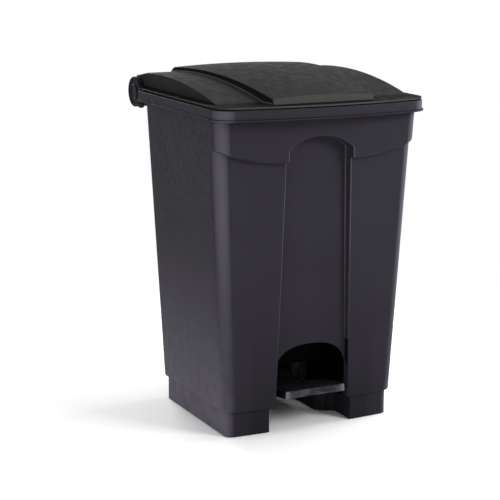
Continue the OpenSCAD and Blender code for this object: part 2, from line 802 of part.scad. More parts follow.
module rod_guide(z) color(nylon_colour) at_rod() difference() {
    translate([-groove_half + part_clear, -floor_back, z])
        cube([2 * (groove_half - part_clear), floor_back + guide_proud, guide_h]);
    translate([0, 0, z - 1]) cylinder(r = lift_rod_d / 2 + 2 * running_clear, h = guide_h + 2);
    guide_screw_points(z) {
        translate([0, 0, -1]) cylinder(r = screw_r, h = far);
        translate([0, 0, guide_seat]) cylinder(r = screw_head_r + 0.4, h = far);
    }
}

module guide_screws() color(steel_colour) at_rod() for (z = [guide_low, guide_high]) guide_screw_points(z) {
    translate([0, 0, guide_seat]) cylinder(r = screw_head_r, h = screw_head_t);
    translate([0, 0, -screw_bite]) cylinder(r = screw_r, h = screw_bite + guide_seat + 1);
}

body_shell();
lid();
hinge_rod();
mirror([1, 0, 0]) hinge_plug();  // hinge_plug_left
hinge_plug();  // hinge_plug_right
lid_buffers();
lug_pin();
pedal_pad();
pedal_lever();
pedal_screws();
mirror([1, 0, 0]) lever_bush();  // lever_bush_left
lever_bush();  // lever_bush_right
lever_pin();
lever_pin_clips();
pivot_rod();
mirror([1, 0, 0]) pivot_bracket();  // pivot_bracket_left
pivot_bracket();  // pivot_bracket_right
bracket_screws();
lift_rod();
rod_fork();
rod_foot();
rod_guide(guide_high);  // upper_guide
rod_guide(guide_low);  // lower_guide
guide_screws();
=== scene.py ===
"""Dresses the step-on waste container: moulded body, domed lid, hinge, pedal and lift linkage.

Lengths in the shape code are millimetres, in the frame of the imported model.
"""
import json
import math
from functools import reduce
from types import SimpleNamespace

import bmesh
import bpy
import numpy as np
from bpy.props import FloatProperty, FloatVectorProperty, IntProperty, PointerProperty
from mathutils import Matrix, Vector


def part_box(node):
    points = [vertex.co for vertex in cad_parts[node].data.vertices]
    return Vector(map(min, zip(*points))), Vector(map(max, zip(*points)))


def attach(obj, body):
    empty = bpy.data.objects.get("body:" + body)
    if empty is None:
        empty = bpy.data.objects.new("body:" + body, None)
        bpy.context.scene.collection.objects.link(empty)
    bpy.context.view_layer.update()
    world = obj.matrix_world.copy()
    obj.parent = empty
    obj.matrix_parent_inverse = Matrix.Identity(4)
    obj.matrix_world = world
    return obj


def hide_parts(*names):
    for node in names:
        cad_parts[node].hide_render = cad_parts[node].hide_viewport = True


bl_info = {
    "name": "Step-on Waste Container",
    "version": (1, 0, 0),
    "blender": (4, 5, 0),
    "location": "3D View > Sidebar > Container",
    "description": "Builds the moulded body, lid, pedal and lift linkage of a step-on waste container",
    "category": "Object",
}

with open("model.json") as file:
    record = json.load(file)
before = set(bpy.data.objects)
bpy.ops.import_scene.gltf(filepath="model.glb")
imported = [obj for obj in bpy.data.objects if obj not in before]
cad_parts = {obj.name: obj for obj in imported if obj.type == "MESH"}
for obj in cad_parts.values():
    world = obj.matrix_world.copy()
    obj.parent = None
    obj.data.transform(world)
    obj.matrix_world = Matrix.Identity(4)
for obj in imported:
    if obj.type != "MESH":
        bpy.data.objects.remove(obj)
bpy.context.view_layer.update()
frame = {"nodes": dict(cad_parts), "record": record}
MM = 0.001
SMOOTH_ANGLE = math.radians(28)
NORMAL_WEIGHT = 80
MERGE = {"new": (2e-6, 1e-6), "finished": (3e-6, 2e-6)}  # doubles and degenerate edges closer than this, in metres
PAST = 400  # a coordinate well outside the container, for cutters that run through


# ---- Sizes and finishes that a user can change ----


def length(name, description, millimetres):
    """A length property whose default is written in millimetres."""
    return FloatProperty(name=name, description=description, default=millimetres * MM, unit="LENGTH", min=0,
                         precision=4)


def colour(name, description, value):
    """A colour property."""
    return FloatVectorProperty(name=name, description=description, default=value, subtype="COLOR",
                               size=3, min=0, max=1)


class BodySizes(bpy.types.PropertyGroup):
    """Sizes of the moulded body."""
    width_low: length("Width above plinth", "Width of the body above the plinth", 327)
    width_top: length("Width at rim", "Width of the body at the rim", 380)
    front_low: length("Front above plinth", "Centre to the pillar faces above the plinth", 148.6)
    front_top: length("Front at rim", "Centre to the pillar faces at the rim", 161)
    rear_low: length("Rear above plinth", "Centre to the rear wall above the plinth", 120.4)
    rear_top: length("Rear at rim", "Centre to the rear wall at the rim", 139)
    plinth_h: length("Plinth height", "Height of the plinth that forms the feet", 44)
    plinth_inset: length("Plinth set-back", "Set-back of the plinth from the body", 6.2)
    wall: length("Wall", "Thickness of the moulded walls", 3)
    front_bow: length("Front bow", "Outward bow of the front face", 5)
    edge_r: length("Edge rounding", "Rounding along the edges of the pillars", 2.4)
    channel_low: length("Channel low", "Half width of the front channel at the floor", 71)
    channel_top: length("Channel top", "Half width of the front channel under its arch", 60)
    spring_z: length("Arch start", "Height at which the arch of the channel starts", 486)
    channel_rise: length("Arch rise", "Rise of the arch of the channel", 21)
    depth_low: length("Channel depth low", "Depth of the channel near the floor", 11)
    depth_top: length("Channel depth top", "Depth of the channel at its top", 17)
    yoke_step: length("Yoke step", "How far the yoke stands out from the pillars", 9.4)
    yoke_low: length("Yoke height", "Height of the lowest point of the yoke", 466)
    relief: length("Arch relief", "Depth of the soft recess around the arch", 0.9)
    toe_half: length("Toe opening half width", "Half width of the toe opening", 68)
    toe_top: length("Toe opening crown", "Height of the crown of the toe opening", 147)


class RimSizes(bpy.types.PropertyGroup):
    """Sizes of the rim and of the hinge eyes."""
    width: length("Rim width", "Width over the lip of the rim", 400)
    depth: length("Overall depth", "Lip of the rim to the back of the hinge barrel", 406.4)
    top_z: length("Rim top", "Height of the top face of the rim", 558.5)
    height: length("Rim height", "Height of the rim band", 18.5)
    bow: length("Rim bow", "Outward bow of the front of the rim", 21.8)
    lip: length("Lip", "How far the lip stands out from the band", 2.5)
    corner_r: length("Rim corner", "Corner radius of the rim band", 30)
    barrel_r: length("Barrel radius", "Radius of the hinge barrel of the lid", 29.5)
    barrel_half: length("Barrel half length", "Half length of the hinge barrel", 180.4)
    eye_r: length("Eye radius", "Radius of the hinge eyes of the body", 26.5)
    eye_half: length("Eye face", "Centre to the outer face of a hinge eye", 191)
    eye_t: length("Eye thickness", "Thickness of a hinge eye", 10)
    rear_r: length("Rear corner", "Radius of the rear corners of the rim", 7)
    hinge_z: length("Hinge height", "Height of the hinge axis", 552.7)


class LidSizes(bpy.types.PropertyGroup):
    """Sizes of the lid."""
    height: length("Crown", "Height of the crown of the closed lid", 603.25)
    wall: length("Lid wall", "Thickness of the lid shell", 2.8)
    gap: length("Lid gap", "Clear height between rim and closed lid", 1.7)
    flange_t: length("Flange", "Thickness of the flange", 3)
    dome_z: length("Dome crest", "Height of the crest of the dome", 591.3)
    dome_half: length("Dome half width", "Half width of the dome", 180)
    dome_r: length("Dome radius", "Front-to-back radius of the dome", 870)
    panel_half: length("Panel half width", "Half width of the raised panel on the cross axis", 110)
    panel_crown: length("Panel crown", "Crown of the raised panel from edge to middle", 3.75)


class PedalSizes(bpy.types.PropertyGroup):
    """Sizes of the pedal."""
    width: length("Pedal width", "Width of the pedal", 117)
    depth: length("Pedal depth", "Depth of the pedal from front to back", 68)
    lip: length("Pedal lip", "Height of the front lip of the pedal", 13)
    ribs: IntProperty(name="Grip ribs", description="Number of grip ribs on the pedal", default=6, min=0, max=8)


class Finishes(bpy.types.PropertyGroup):
    """Colours of the materials."""
    body: colour("Body", "Charcoal polypropylene of the body", (0.0375, 0.0345, 0.0435))
    lid: colour("Lid", "Near-black polypropylene of the lid", (0.032, 0.030, 0.030))
    pedal: colour("Pedal", "Black nylon of the pedal", (0.022, 0.021, 0.024))
    nylon: colour("Nylon", "Black nylon of the linkage mouldings", (0.008, 0.008, 0.009))
    steel: colour("Steel", "Blackened steel", (0.06, 0.06, 0.063))
    rubber: colour("Rubber", "Black rubber of the buffers", (0.008, 0.008, 0.008))
    floor: colour("Floor", "White studio floor", (0.90, 0.90, 0.90))


GROUPS = {"body": BodySizes, "rim": RimSizes, "lid": LidSizes, "pedal": PedalSizes, "finish": Finishes}


def sizes(name):
    """One group's values, with its lengths in millimetres."""
    group = getattr(bpy.context.scene, "container_" + name)
    values = {}
    for key, prop in group.bl_rna.properties.items():
        if key in ("rna_type", "name"):
            continue
        value = getattr(group, key)
        values[key] = value / MM if getattr(prop, "unit", "") == "LENGTH" else value
    return SimpleNamespace(**values)


# ---- Mesh helpers ----


def turn(count, a0=0.0, a1=90.0):
    """Sines and cosines of evenly spaced angles in degrees, for a rounded edge."""
    a = np.radians(np.linspace(a0, a1, count + 1))
    return list(zip(np.sin(a), np.cos(a)))


def cleaned(mesh, stage):
    """Editable copy of a mesh without doubles and degenerate faces."""
    bm = bmesh.new()
    bm.from_mesh(mesh)
    doubles, degenerate = MERGE[stage]
    bmesh.ops.remove_doubles(bm, verts=bm.verts, dist=doubles)
    bmesh.ops.dissolve_degenerate(bm, edges=bm.edges, dist=degenerate)
    return bm


def new_object(name, points, faces):
    """Closed object from points in millimetres, with its doubles merged and its faces pointing out."""
    mesh = bpy.data.meshes.new(name)
    mesh.from_pydata([tuple(c * MM for c in p) for p in points], [], faces)
    thing = bpy.data.objects.new(name, mesh)
    bpy.context.scene.collection.objects.link(thing)
    bm = cleaned(mesh, "new")
    bmesh.ops.recalc_face_normals(bm, faces=bm.faces)
    bm.to_mesh(mesh)
    bm.free()
    return thing


def loft(name, rings):
    """Solid through closed rings of equal length, capped at both ends."""
    n, last = len(rings[0]), len(rings) - 1
    faces = [(a + i, a + (i + 1) % n, a + n + (i + 1) % n, a + n + i)
             for a in range(0, last * n, n) for i in range(n)]
    faces += [tuple(range(n - 1, -1, -1)), tuple(last * n + i for i in range(n))]
    return new_object(name, [p for ring in rings for p in ring], faces)


def at(plan, z):
    """Ring of a plan outline at height z."""
    return [(x, y, z) for x, y in plan]


def prism(name, outline, low, high, axis="z", edge=0.0, steps=3):
    """Extrusion of a closed outline along X or Z, with its end edges rounded by edge."""
    outline = np.array(outline, float)
    inward = inward_normals(outline)
    levels = [(low, 0.0), (high, 0.0)]
    if edge > 0:
        levels = [(low + edge * (1 - c), edge * (1 - s)) for s, c in turn(steps)]
        levels += [(high - edge * (1 - c), edge * (1 - s)) for s, c in reversed(turn(steps))]
    return loft(name, [[(level, u, v) if axis == "x" else (u, v, level) for u, v in outline + inward * inset]
                       for level, inset in levels])


def inward_normals(outline):
    """Mitred inward directions at the corners of a closed outline, for an even inset."""
    nxt, prv = np.roll(outline, -1, 0), np.roll(outline, 1, 0)
    area = np.sum(outline[:, 0] * nxt[:, 1] - nxt[:, 0] * outline[:, 1])
    turned = 1 if area > 0 else -1

    def unit(v):
        return v / np.maximum(np.linalg.norm(v, axis=1, keepdims=True), 1e-9)

    d0, d1 = unit(outline - prv), unit(nxt - outline)
    n0, n1 = (np.c_[-d[:, 1], d[:, 0]] * turned for d in (d0, d1))
    mid = unit(n0 + n1)
    return mid / np.maximum(np.sum(mid * n0, 1, keepdims=True), 0.4)


def circle(cx, cy, r, count=64, a0=0.0, a1=360.0):
    """Points on a circle, or on an arc between two angles in degrees."""
    a = np.radians(np.linspace(a0, a1, count + 1))
    if a1 - a0 >= 360:
        a = a[:-1]
    return np.c_[cx + r * np.cos(a), cy + r * np.sin(a)]


def rod(name, y, z, r, x0, x1, edge=0.0, count=64):
    """Round bar along X."""
    return prism(name, circle(y, z, r, count), x0, x1, "x", edge)


def lathe_x(name, y, z, profile, count=72):
    """Solid of revolution about a line along X. The profile is (x, radius), and ends on the axis."""
    rings = [[(x, y + r * math.cos(2 * math.pi * i / count), z + r * math.sin(2 * math.pi * i / count))
              for i in range(count)] for x, r in profile]
    return loft(name, rings)


def combine(target, others, operation="UNION"):
    """Adds the other solids to the target, or takes them off, and deletes them."""
    for other in others:
        modifier = target.modifiers.new("combine", "BOOLEAN")
        modifier.operation = operation
        modifier.solver = "MANIFOLD"
        modifier.object = other
        apply_modifiers(target)
        old = other.data
        bpy.data.objects.remove(other)
        bpy.data.meshes.remove(old)
    return target


def apply_modifiers(thing):
    """Turns the evaluated object into its own plain mesh."""
    bpy.context.view_layer.update()
    done = bpy.data.meshes.new_from_object(thing.evaluated_get(bpy.context.evaluated_depsgraph_get()))
    thing.modifiers.clear()
    old, thing.data = thing.data, done
    done.name = thing.name
    bpy.data.meshes.remove(old)


def mirrored(thing):
    """Copy of an object on the other side of the middle plane."""
    copy = thing.copy()
    copy.data = thing.data.copy()
    bpy.context.scene.collection.objects.link(copy)
    copy.data.transform(Matrix.Scale(-1, 4, (1, 0, 0)))
    copy.data.flip_normals()
    return copy


def finish_shading(thing):
    """Smooth faces with sharp edges past an angle, and normals that follow the large faces."""
    bm = cleaned(thing.data, "finished")
    for face in bm.faces:
        face.smooth = True
    for edge in bm.edges:
        edge.smooth = not edge.is_manifold or edge.calc_face_angle(0) < SMOOTH_ANGLE
    bm.to_mesh(thing.data)
    bm.free()
    weighted = thing.modifiers.new("weighted", "WEIGHTED_NORMAL")
    weighted.keep_sharp = True
    weighted.weight = NORMAL_WEIGHT
    apply_modifiers(thing)


def settle(thing, body, replaced, slot):
    """Shades a finished piece, gives it the material of its slot, sets it on its body and hides the node that it
    replaces.
    """
    finish_shading(thing)
    thing.data.materials.clear()
    thing.data.materials.append(material_for(slot))
    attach(thing, body)
    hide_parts(replaced)


# ---- Body skin ----

CORNER_LOW, CORNER_TOP = 19.3, 25  # corner radius above the plinth and at the rim
WALL_ROWS = (62, 90, 130, 175, 225, 275, 325, 370, 410, 440, 455)  # heights between plinth and yoke
YOKE_ROWS = (476, 481)  # heights between the yoke's edge and the arch
FOLLOW_FROM = 300  # height from which the rows bend towards the yoke's edge
YOKE_LEVEL, YOKE_SAG = 65, 600  # half width of the yoke's level part, and the curve of its ends
RELIEF_HALF, RELIEF_Z, RELIEF_RISE = 72, 470, 57  # recess around the arch: half width, centre and height
RELIEF_POWER, RELIEF_EDGE, RELIEF_FROM, RELIEF_FADE = 2.5, 16, 478, 16  # its outline, edge and lower end
DRAFT = 0.8  # how far the channel's walls lean in towards its floor
ARCH_SOFT = 2.2  # rounding where the arch starts
SIDE_JOIN = -95  # Y at which the two halves of a side meet


def rounded_plan(half, front, back, r, bow, rear_r, corner=14, along=24):
    """Rounded rectangle, anticlockwise from the rear right corner, whose front edge bows outwards."""
    y0 = bow - front
    parts = [circle(half - rear_r, back - rear_r, rear_r, corner, 0, 90),
             circle(rear_r - half, back - rear_r, rear_r, corner, 90, 180),
             circle(r - half, y0 + r, r, corner, 180, 270)]
    xs = np.linspace(r - half, half - r, along + 1)[1:-1]
    parts += [np.c_[xs, np.full(len(xs), y0)], circle(half - r, y0 + r, r, corner, 270, 360)]
    plan = np.vstack(parts)
    fore = plan[:, 1] < y0 + r + 0.01
    plan[fore, 1] -= bow * (1 - (plan[fore, 0] / half) ** 2)
    return plan


class BodyForm:
    """The body's faces as functions of height, shrunk by inset e for the inside."""

    def __init__(self, b, r, e=0.0):
        self.b, self.e = b, e
        self.low, self.high = b.plinth_h, r.top_z - r.height

    def along(self, z, low, top):
        """Value at height z of a size that runs straight from the plinth to the rim."""
        return low + (top - low) * (z - self.low) / (self.high - self.low)

    def plan_sizes(self, z, inset=0.0, plinth=False):
        """Half width, front, back and corner radius of the plan at height z."""
        b, e = self.b, self.e + inset
        if plinth:
            e += b.plinth_inset
            return b.width_low / 2 - e, b.front_low - e, b.rear_low - e, CORNER_LOW - e
        return (self.along(z, b.width_low, b.width_top) / 2 - e, self.along(z, b.front_low, b.front_top) - e,
                self.along(z, b.rear_low, b.rear_top) - e, self.along(z, CORNER_LOW, CORNER_TOP) - e)

    def floor_y(self, z):
        """Y of the channel floor."""
        b = self.b
        crown = b.spring_z + b.channel_rise
        y0 = b.depth_low - self.along(0, b.front_low, b.front_top)
        y1 = b.depth_top - self.along(crown, b.front_low, b.front_top)
        return y0 + (y1 - y0) * (z + 20) / (crown + 21) + self.e

    def channel_x(self, z):
        """Half width of the channel."""
        b = self.b
        return b.channel_low + (b.channel_top - b.channel_low) * (z + 10) / (b.spring_z + 10) + self.e

    def yoke_rise(self, x):
        """Rise of the yoke's lower edge away from the middle."""
        return max(abs(x) - YOKE_LEVEL, 0) ** 2 / YOKE_SAG

    def face_y(self, x, z, size, step):
        """Y of the bowed front face, with the soft recess around the arch."""
        b, (half, front, *_) = self.b, size
        y = b.front_bow * (x / half) ** 2 - front - step
        if step > 0 and z > RELIEF_FROM and b.relief > 0 and self.e == 0:
            reach = (abs(x) / RELIEF_HALF) ** RELIEF_POWER + (max(z - RELIEF_Z, 0) / RELIEF_RISE) ** RELIEF_POWER
            share = 1 / (1 + math.exp(min((reach - 1) * RELIEF_EDGE, 60)))
            y += b.relief * share * min((z - RELIEF_FROM) / RELIEF_FADE, 1)
        return y

    def arch(self):
        """Centre height and radius of the arch of the channel."""
        b = self.b
        radius = (b.channel_top ** 2 + b.channel_rise ** 2) / (2 * b.channel_rise)
        return b.spring_z + b.channel_rise - radius, radius + self.e


def channel_outline(form):
    """Right half of the channel's outline from its straight part to the crown: points and outward directions."""
    centre, radius = form.arch()
    start = math.acos((form.b.channel_top + form.e) / radius)
    spring = np.array([radius * math.cos(start), centre + radius * math.sin(start)])
    low = spring - (0, ARCH_SOFT)
    high_a = start + ARCH_SOFT / radius
    high = np.array([radius * math.cos(high_a), centre + radius * math.sin(high_a)])
    rows = []
    for k in np.linspace(0, 1, 5):
        p = (1 - k) ** 2 * low + 2 * k * (1 - k) * spring + k * k * high
        d = (1 - k) * (spring - low) + k * (high - spring)
        n = np.array([d[1], -d[0]])
        rows.append((p, n / np.linalg.norm(n)))
    for a in np.linspace(high_a, math.pi / 2, 17)[1:]:
        n = np.array([math.cos(a), math.sin(a)])
        rows.append((np.array([0, centre]) + radius * n, n))
    return rows


def body_rows(form):
    """Rows of the skin from the floor up. Each has a height, plan sizes, yoke step, yoke follow and channel flag."""
    b, e = form.b, form.e
    rows = []

    def add(z, inset=0.0, plinth=False, step=0.0, follow=0.0):
        rows.append(SimpleNamespace(z=z, sizes=form.plan_sizes(z, inset, plinth), step=step, follow=follow,
                                    channel=not plinth))

    base, foot, knee = (4.0 if e else 0.0), 1.5, b.plinth_h + e
    for s, c in turn(3):
        add(base + foot * (1 - c), foot * (1 - s), True)
    for s, c in turn(3):
        add(knee - foot + foot * s, -foot * (1 - c), True)
    shoulder = 1.0 if e else 3.0
    for s, c in turn(4):
        add(knee + shoulder * (1 - c), shoulder * (1 - s))
    for z in WALL_ROWS:
        add(z, follow=max(0.0, (z - FOLLOW_FROM) / (b.yoke_low - FOLLOW_FROM - 2)))
    low, crease, edge = b.yoke_low + e, 2.0, 3.0
    for s, c in turn(3):
        add(low - crease + crease * s, step=crease * (1 - c), follow=1)
    for s, c in turn(4):
        add(low + edge * (1 - c), step=b.yoke_step - edge + edge * s, follow=1)
    for z in YOKE_ROWS:
        add(z, step=b.yoke_step, follow=1)
    return rows


def side_and_rear(form, row, size, end_x, end_z, follow):
    """Points of one row from the front corner along the side and the rear to the middle plane."""
    half, front, back, r = size
    bow, line = form.b.front_bow, []
    for s, c in turn(12)[1:]:
        x = half - r + r * s
        z = end_z + follow * (form.yoke_rise(x) - form.yoke_rise(end_x))
        if row.follow:
            half, front, back, r = form.plan_sizes(z)
            x = half - r + r * s
        line.append((x, bow - front + r - r * c - bow * (1 - (x / half) ** 2) - row.step, z))
    _, y, z = line[-1]
    line += [(half, v, z) for v in (*np.linspace(y, SIDE_JOIN, 4)[1:], *np.linspace(SIDE_JOIN, back - r, 5)[1:])]
    line += [(half - r + r * c, back - r + r * s, z) for s, c in turn(10)[1:]]
    return line + [(x, back, z) for x in np.linspace(half - r, 0, 7)[1:]]


def body_skin(name, form, z_top):
    """Closed skin of the body with its channel, arch, yoke and feet, built as the right half and mirrored."""
    b, rows, corner_rows = form.b, body_rows(form), 5
    across, shares = np.linspace(0, 1, 7)[:-1], np.linspace(0, 1, 25)[1:] ** 1.25
    outline = [(np.array([form.channel_x(row.z), row.z]), np.array([1.0, 0.0]), row) for row in rows]
    outline += [(p, n, SimpleNamespace(z=p[1], sizes=None, step=b.yoke_step, follow=1, channel=True))
                for p, n in channel_outline(form)]
    full = len(rows) + corner_rows  # rows that run on round the corner; the others end at the top edge
    side_x = form.plan_sizes(z_top)[0] - form.plan_sizes(z_top)[3]
    edge_low = outline[len(rows)][0][1] + form.yoke_rise(side_x)
    lines = []
    for i, (p, n, row) in enumerate(outline):
        size, follow, end_z = row.sizes, row.follow, z_top
        if not row.sizes:
            if i < full:
                end_z = edge_low + (z_top - edge_low) * (i - len(rows)) / (corner_rows - 1)
            size, follow = form.plan_sizes(end_z), (z_top - end_z) / (z_top - edge_low)
        end_x = size[0] - size[3]
        if row.sizes:
            end_z = row.z + follow * form.yoke_rise(end_x)
        elif i >= full:
            end_x *= 1 - (i - full + 1) / (len(outline) - full)
        start, inner = p + n * b.edge_r, p - n * (DRAFT + b.edge_r)

        def on_face(share):
            """Point of the front face between the channel's edge and the corner."""
            x = start[0] + (end_x - start[0]) * share
            if row.sizes or i == len(rows):
                z = start[1] + (follow if row.sizes else 1) * form.yoke_rise(x)
            else:
                z = start[1] + (end_z - start[1]) * share
            return x, form.face_y(x, z, form.plan_sizes(z) if row.follow else row.sizes, row.step), z

        if row.channel:
            floor, face = form.floor_y(inner[1]), on_face(0.0)[1]
            line = [(inner[0] * a, floor, inner[1]) for a in across]
            bends = [(p - n * (DRAFT + b.edge_r * (1 - s)), floor - b.edge_r * (1 - c)) for s, c in turn(4)]
            bends += [(p + n * b.edge_r * (1 - c), face + b.edge_r * (1 - s)) for s, c in turn(4)]
            line += [(q[0], y, q[1]) for q, y in bends]
        else:
            xs = [inner[0] * a for a in across]
            xs += [p[0] - (DRAFT + b.edge_r * (1 - s)) for s, _ in turn(4)]
            xs += [p[0] + b.edge_r * (1 - c) for _, c in turn(4)]
            line = [(x, form.face_y(x, p[1], row.sizes, 0), p[1]) for x in xs]
        line += [on_face(share) for share in shares]
        if i < full:
            line += side_and_rear(form, row, size, end_x, end_z, follow)
        lines.append(line)

    points, index, faces = [], [], []
    for line in lines:
        index.append(list(range(len(points), len(points) + len(line))))
        points += line
    for low, high in zip(index[:-1], index[1:]):
        faces += [(low[j], low[j + 1], high[j + 1], high[j]) for j in range(min(len(low), len(high)) - 1)]
    total = len(points)
    points += [(-x, y, z) for x, y, z in points]
    faces += [tuple(v + total for v in reversed(f)) for f in faces]
    last = len(lines[-1]) - 1
    top = [line[last] for line in reversed(index[full:])] + index[full - 1][last:]
    for edge in (index[0], top):
        faces.append((*edge, *(v + total for v in reversed(edge[1:-1]))))
    return new_object(name, points, faces)


# ---- Body ----

GAP_MID, GAP_SWING = 63.5, 15.5  # mean half width of the space between the feet, and how far it swings
GAP_START, GAP_BEND = 55.6, 28.0  # where the swing starts behind the pillar faces, and its length
TOE_DEPTH, TOE_SPRING, TOE_POWER = 68.6, 95, 0.8  # depth, springing height and roundness of the toe opening
TUNNEL_TOP, TUNNEL_REAR = 96, 19.4  # height of the lever tunnel, and how far it ends before the rear wall
GROOVE_HALF, GROOVE_DEPTH = 24, 22
BORE_R = 4.05  # bore for the hinge rod
EAR_R, EAR_T, EAR_PLACES = 11, 8, (66.3, 146.3)
SUNK, SUNK_EDGE = 1.5, 3.5  # depth of the eye's sunken face, and the width of the edge around it
PIVOT_Y, PIVOT_Z = -22.6, 44.0  # pivot of the pedal lever
BOSS_Z, BOSS_R, BOSS_X, BOSS_STEP = 72, 5, (49, 59), 10  # bosses that the pivot brackets are screwed to


def rim_plan(r, inset):
    """Outline of the rim band, inset by a distance."""
    rear = rim_rear(r)
    return rounded_plan(r.width / 2 - r.lip - inset, r.depth / 2 - r.lip - inset, rear - inset,
                        r.corner_r - inset, r.bow, max(r.rear_r - inset, 2))


def rim_rear(r):
    """Y of the rear edge of the rim."""
    return r.depth / 2 - 2 * r.barrel_r - 1.2


def hinge_y(r):
    """Y of the hinge axis."""
    return r.depth / 2 - r.barrel_r


def rim_band(r, wall):
    """Rim with its lip and rounded top edge, hollow underneath behind a skirt."""
    z0, z1, past = r.top_z - r.height, r.top_z, 5
    lip_h, soft, top = 3.0, 0.8, 2.2
    levels = [(soft * (1 - s) - r.lip, z0 + soft * (1 - c)) for s, c in turn(3)]
    levels += [(soft * (1 - c) - r.lip, z0 + lip_h - soft + soft * s) for s, c in turn(3)]
    levels += [(-soft * (1 - s), z0 + lip_h + soft * (1 - c)) for s, c in turn(3)]
    levels += [(top * (1 - c), z1 - top + top * s) for s, c in turn(5)]
    band = loft("rim", [at(rim_plan(r, inset), z) for inset, z in levels])
    hollow = prism("hollow", rim_plan(r, wall), z0 - past, z1 - wall)
    return combine(band, [hollow], "DIFFERENCE")


def hinge_eye(r):
    """Eye of the hinge at the right end of the rim, with its web, its sunken face and its sloping root."""
    y, z, z0, z1 = hinge_y(r), r.hinge_z, r.top_z - r.height, r.top_z
    inner, face, root = r.eye_half - r.eye_t, r.eye_half, rim_rear(r) - r.rear_r

    def neck(level, fillet, up):
        """Fillet between a level edge of the web and the eye, and the angle at which it meets the eye."""
        rise = level + up * fillet - z
        reach = math.sqrt((r.eye_r + fillet) ** 2 - rise ** 2)
        touch = math.degrees(math.atan2(rise, -reach))
        ends = (-90, touch - 180) if up > 0 else (90, 180 + touch)
        return circle(y - reach, level + up * fillet, fillet, 8, *ends), touch

    low, low_touch = neck(z0, 3.0, -1)
    high, high_touch = neck(z1, 8.0, 1)
    outline = [(root, z0), *low, *circle(y, z, r.eye_r, 56, low_touch % 360 - 360, high_touch)[1:-1],
               *high[::-1], (root, z1)]
    web = prism("eye", outline, inner, face, "x", 1.2)
    edge, end = r.width / 2 - r.lip, rim_rear(r) + r.rear_r
    plan = [(inner, root - 6), (edge, root - 6), (edge, root), (face, end), (face - 2, end + 4), (inner, end + 4)]
    combine(web, [prism("root", plan, z0, z1, "z", 1.6)])
    floor, wall, soft = face - SUNK, r.eye_r - SUNK_EDGE, 0.8
    sink = [(floor, 0), (floor, wall - soft), *((floor + soft * (1 - c), wall - soft * (1 - s)) for s, c in turn(3)),
            (face - 0.5, wall), (face, wall + 0.5), (face + 1, wall + 0.5), (face + 1, 0)]
    return combine(web, [lathe_x("sink", y, z, sink)], "DIFFERENCE")


def hinge_ears(r):
    """Ears behind the rim, on the right side, that carry the hinge rod."""
    y, z, z0, z1, rear = hinge_y(r), r.hinge_z, r.top_z - r.height, r.top_z, rim_rear(r)
    outline = [(rear - 10, z0), *circle(y, z, EAR_R, 20, -90, 90), (rear, z1), (rear - 10, z1)]
    return [prism("ear", outline, x, x + EAR_T, "x", 0.6) for x in EAR_PLACES]


def both_halves(right, z):
    """Closed ring at height z from its right half."""
    return [(x, y, z) for x, y in right] + [(-x, y, z) for x, y in reversed(right)]


def foot_gap(b, grown, flare=0.0):
    """Space between the feet, with the edges of its mouth rounded by flare."""
    def side(e):
        wide, bend = GAP_MID + GAP_SWING, GAP_START - b.front_low
        face = b.plinth_inset - b.front_low + b.front_bow * (wide / (b.width_low / 2)) ** 2
        points = [(wide + e + flare, -PAST)]
        points += [(wide + e + flare * (1 - s), face + flare * (1 - c)) for s, c in turn(4)]
        points += [(GAP_MID + e + GAP_SWING * math.cos(math.pi * k / 12), bend + GAP_BEND * k / 12)
                   for k in range(13)]
        return points + [(GAP_MID - GAP_SWING + e, b.rear_low - TUNNEL_REAR + grown)]

    levels = [(-10, flare), (0, flare)]
    levels += [(flare * (1 - c), flare * (1 - s)) for s, c in turn(3)][1:] if flare else []
    levels.append((b.plinth_h + (grown or 0.6), 0.0))
    return loft("foot gap", [both_halves(side(e + grown), z) for z, e in levels])


def toe_arch(b, form, grown, flare=0.0):
    """Toe opening through the floor of the channel, with its mouth rounded by flare."""
    def outline(e):
        a = np.radians(np.linspace(0, 180, 49))
        c, s = np.cos(a), np.sin(a)
        x = np.sign(c) * (b.toe_half + e) * np.abs(c) ** TOE_POWER
        z = TOE_SPRING + (b.toe_top + e - TOE_SPRING) * s ** TOE_POWER
        return np.r_[[[b.toe_half + e, -10]], np.c_[x, z], [[-b.toe_half - e, -10]]]

    back = TOE_DEPTH - b.front_low + grown
    rings = [[(x, -PAST, z) for x, z in outline(flare + grown)]]
    if flare:
        for s, c in turn(5):
            ring = outline(flare * (1 - s))
            rings.append([(x, form.floor_y(z) + flare * (1 - c), z) for x, z in ring])
    rings.append([(x, back, z) for x, z in outline(grown)])
    return loft("toe arch", rings)


def lever_tunnel(b, grown):
    """Tunnel between the feet in which the lever swings."""
    half, y0, y1 = GAP_MID - GAP_SWING + grown, TOE_DEPTH - 1 - b.front_low, b.rear_low - TUNNEL_REAR + grown
    return prism("tunnel", [(half, y0), (half, y1), (-half, y1), (-half, y0)], -10, TUNNEL_TOP + grown)


def rod_groove(b, form, grown, flare=0.0):
    """Groove for the lift rod in the rear wall, with the edges of its mouth rounded by flare."""
    rings = []
    for z in (-10, 700):
        back = form.along(z, b.rear_low, b.rear_top)
        right = [(GROOVE_HALF + grown, back - GROOVE_DEPTH - grown)]
        if flare:
            right += [(GROOVE_HALF + flare * (1 - c), back - flare + flare * s) for s, c in turn(4)]
        right.append((GROOVE_HALF + grown + flare, back + PAST))
        rings.append(both_halves(right, z))
    return loft("groove", rings)


def cavity(b, r):
    """Inside of the body, clear of the feet gap, the toe space, the tunnel and the groove."""
    inner = BodyForm(b, r, b.wall)
    space = body_skin("cavity", inner, r.top_z + 4)
    flush = BodyForm(b, r)
    around = [foot_gap(b, b.wall), toe_arch(b, flush, b.wall), lever_tunnel(b, b.wall), rod_groove(b, flush, b.wall)]
    return combine(space, around, "DIFFERENCE")


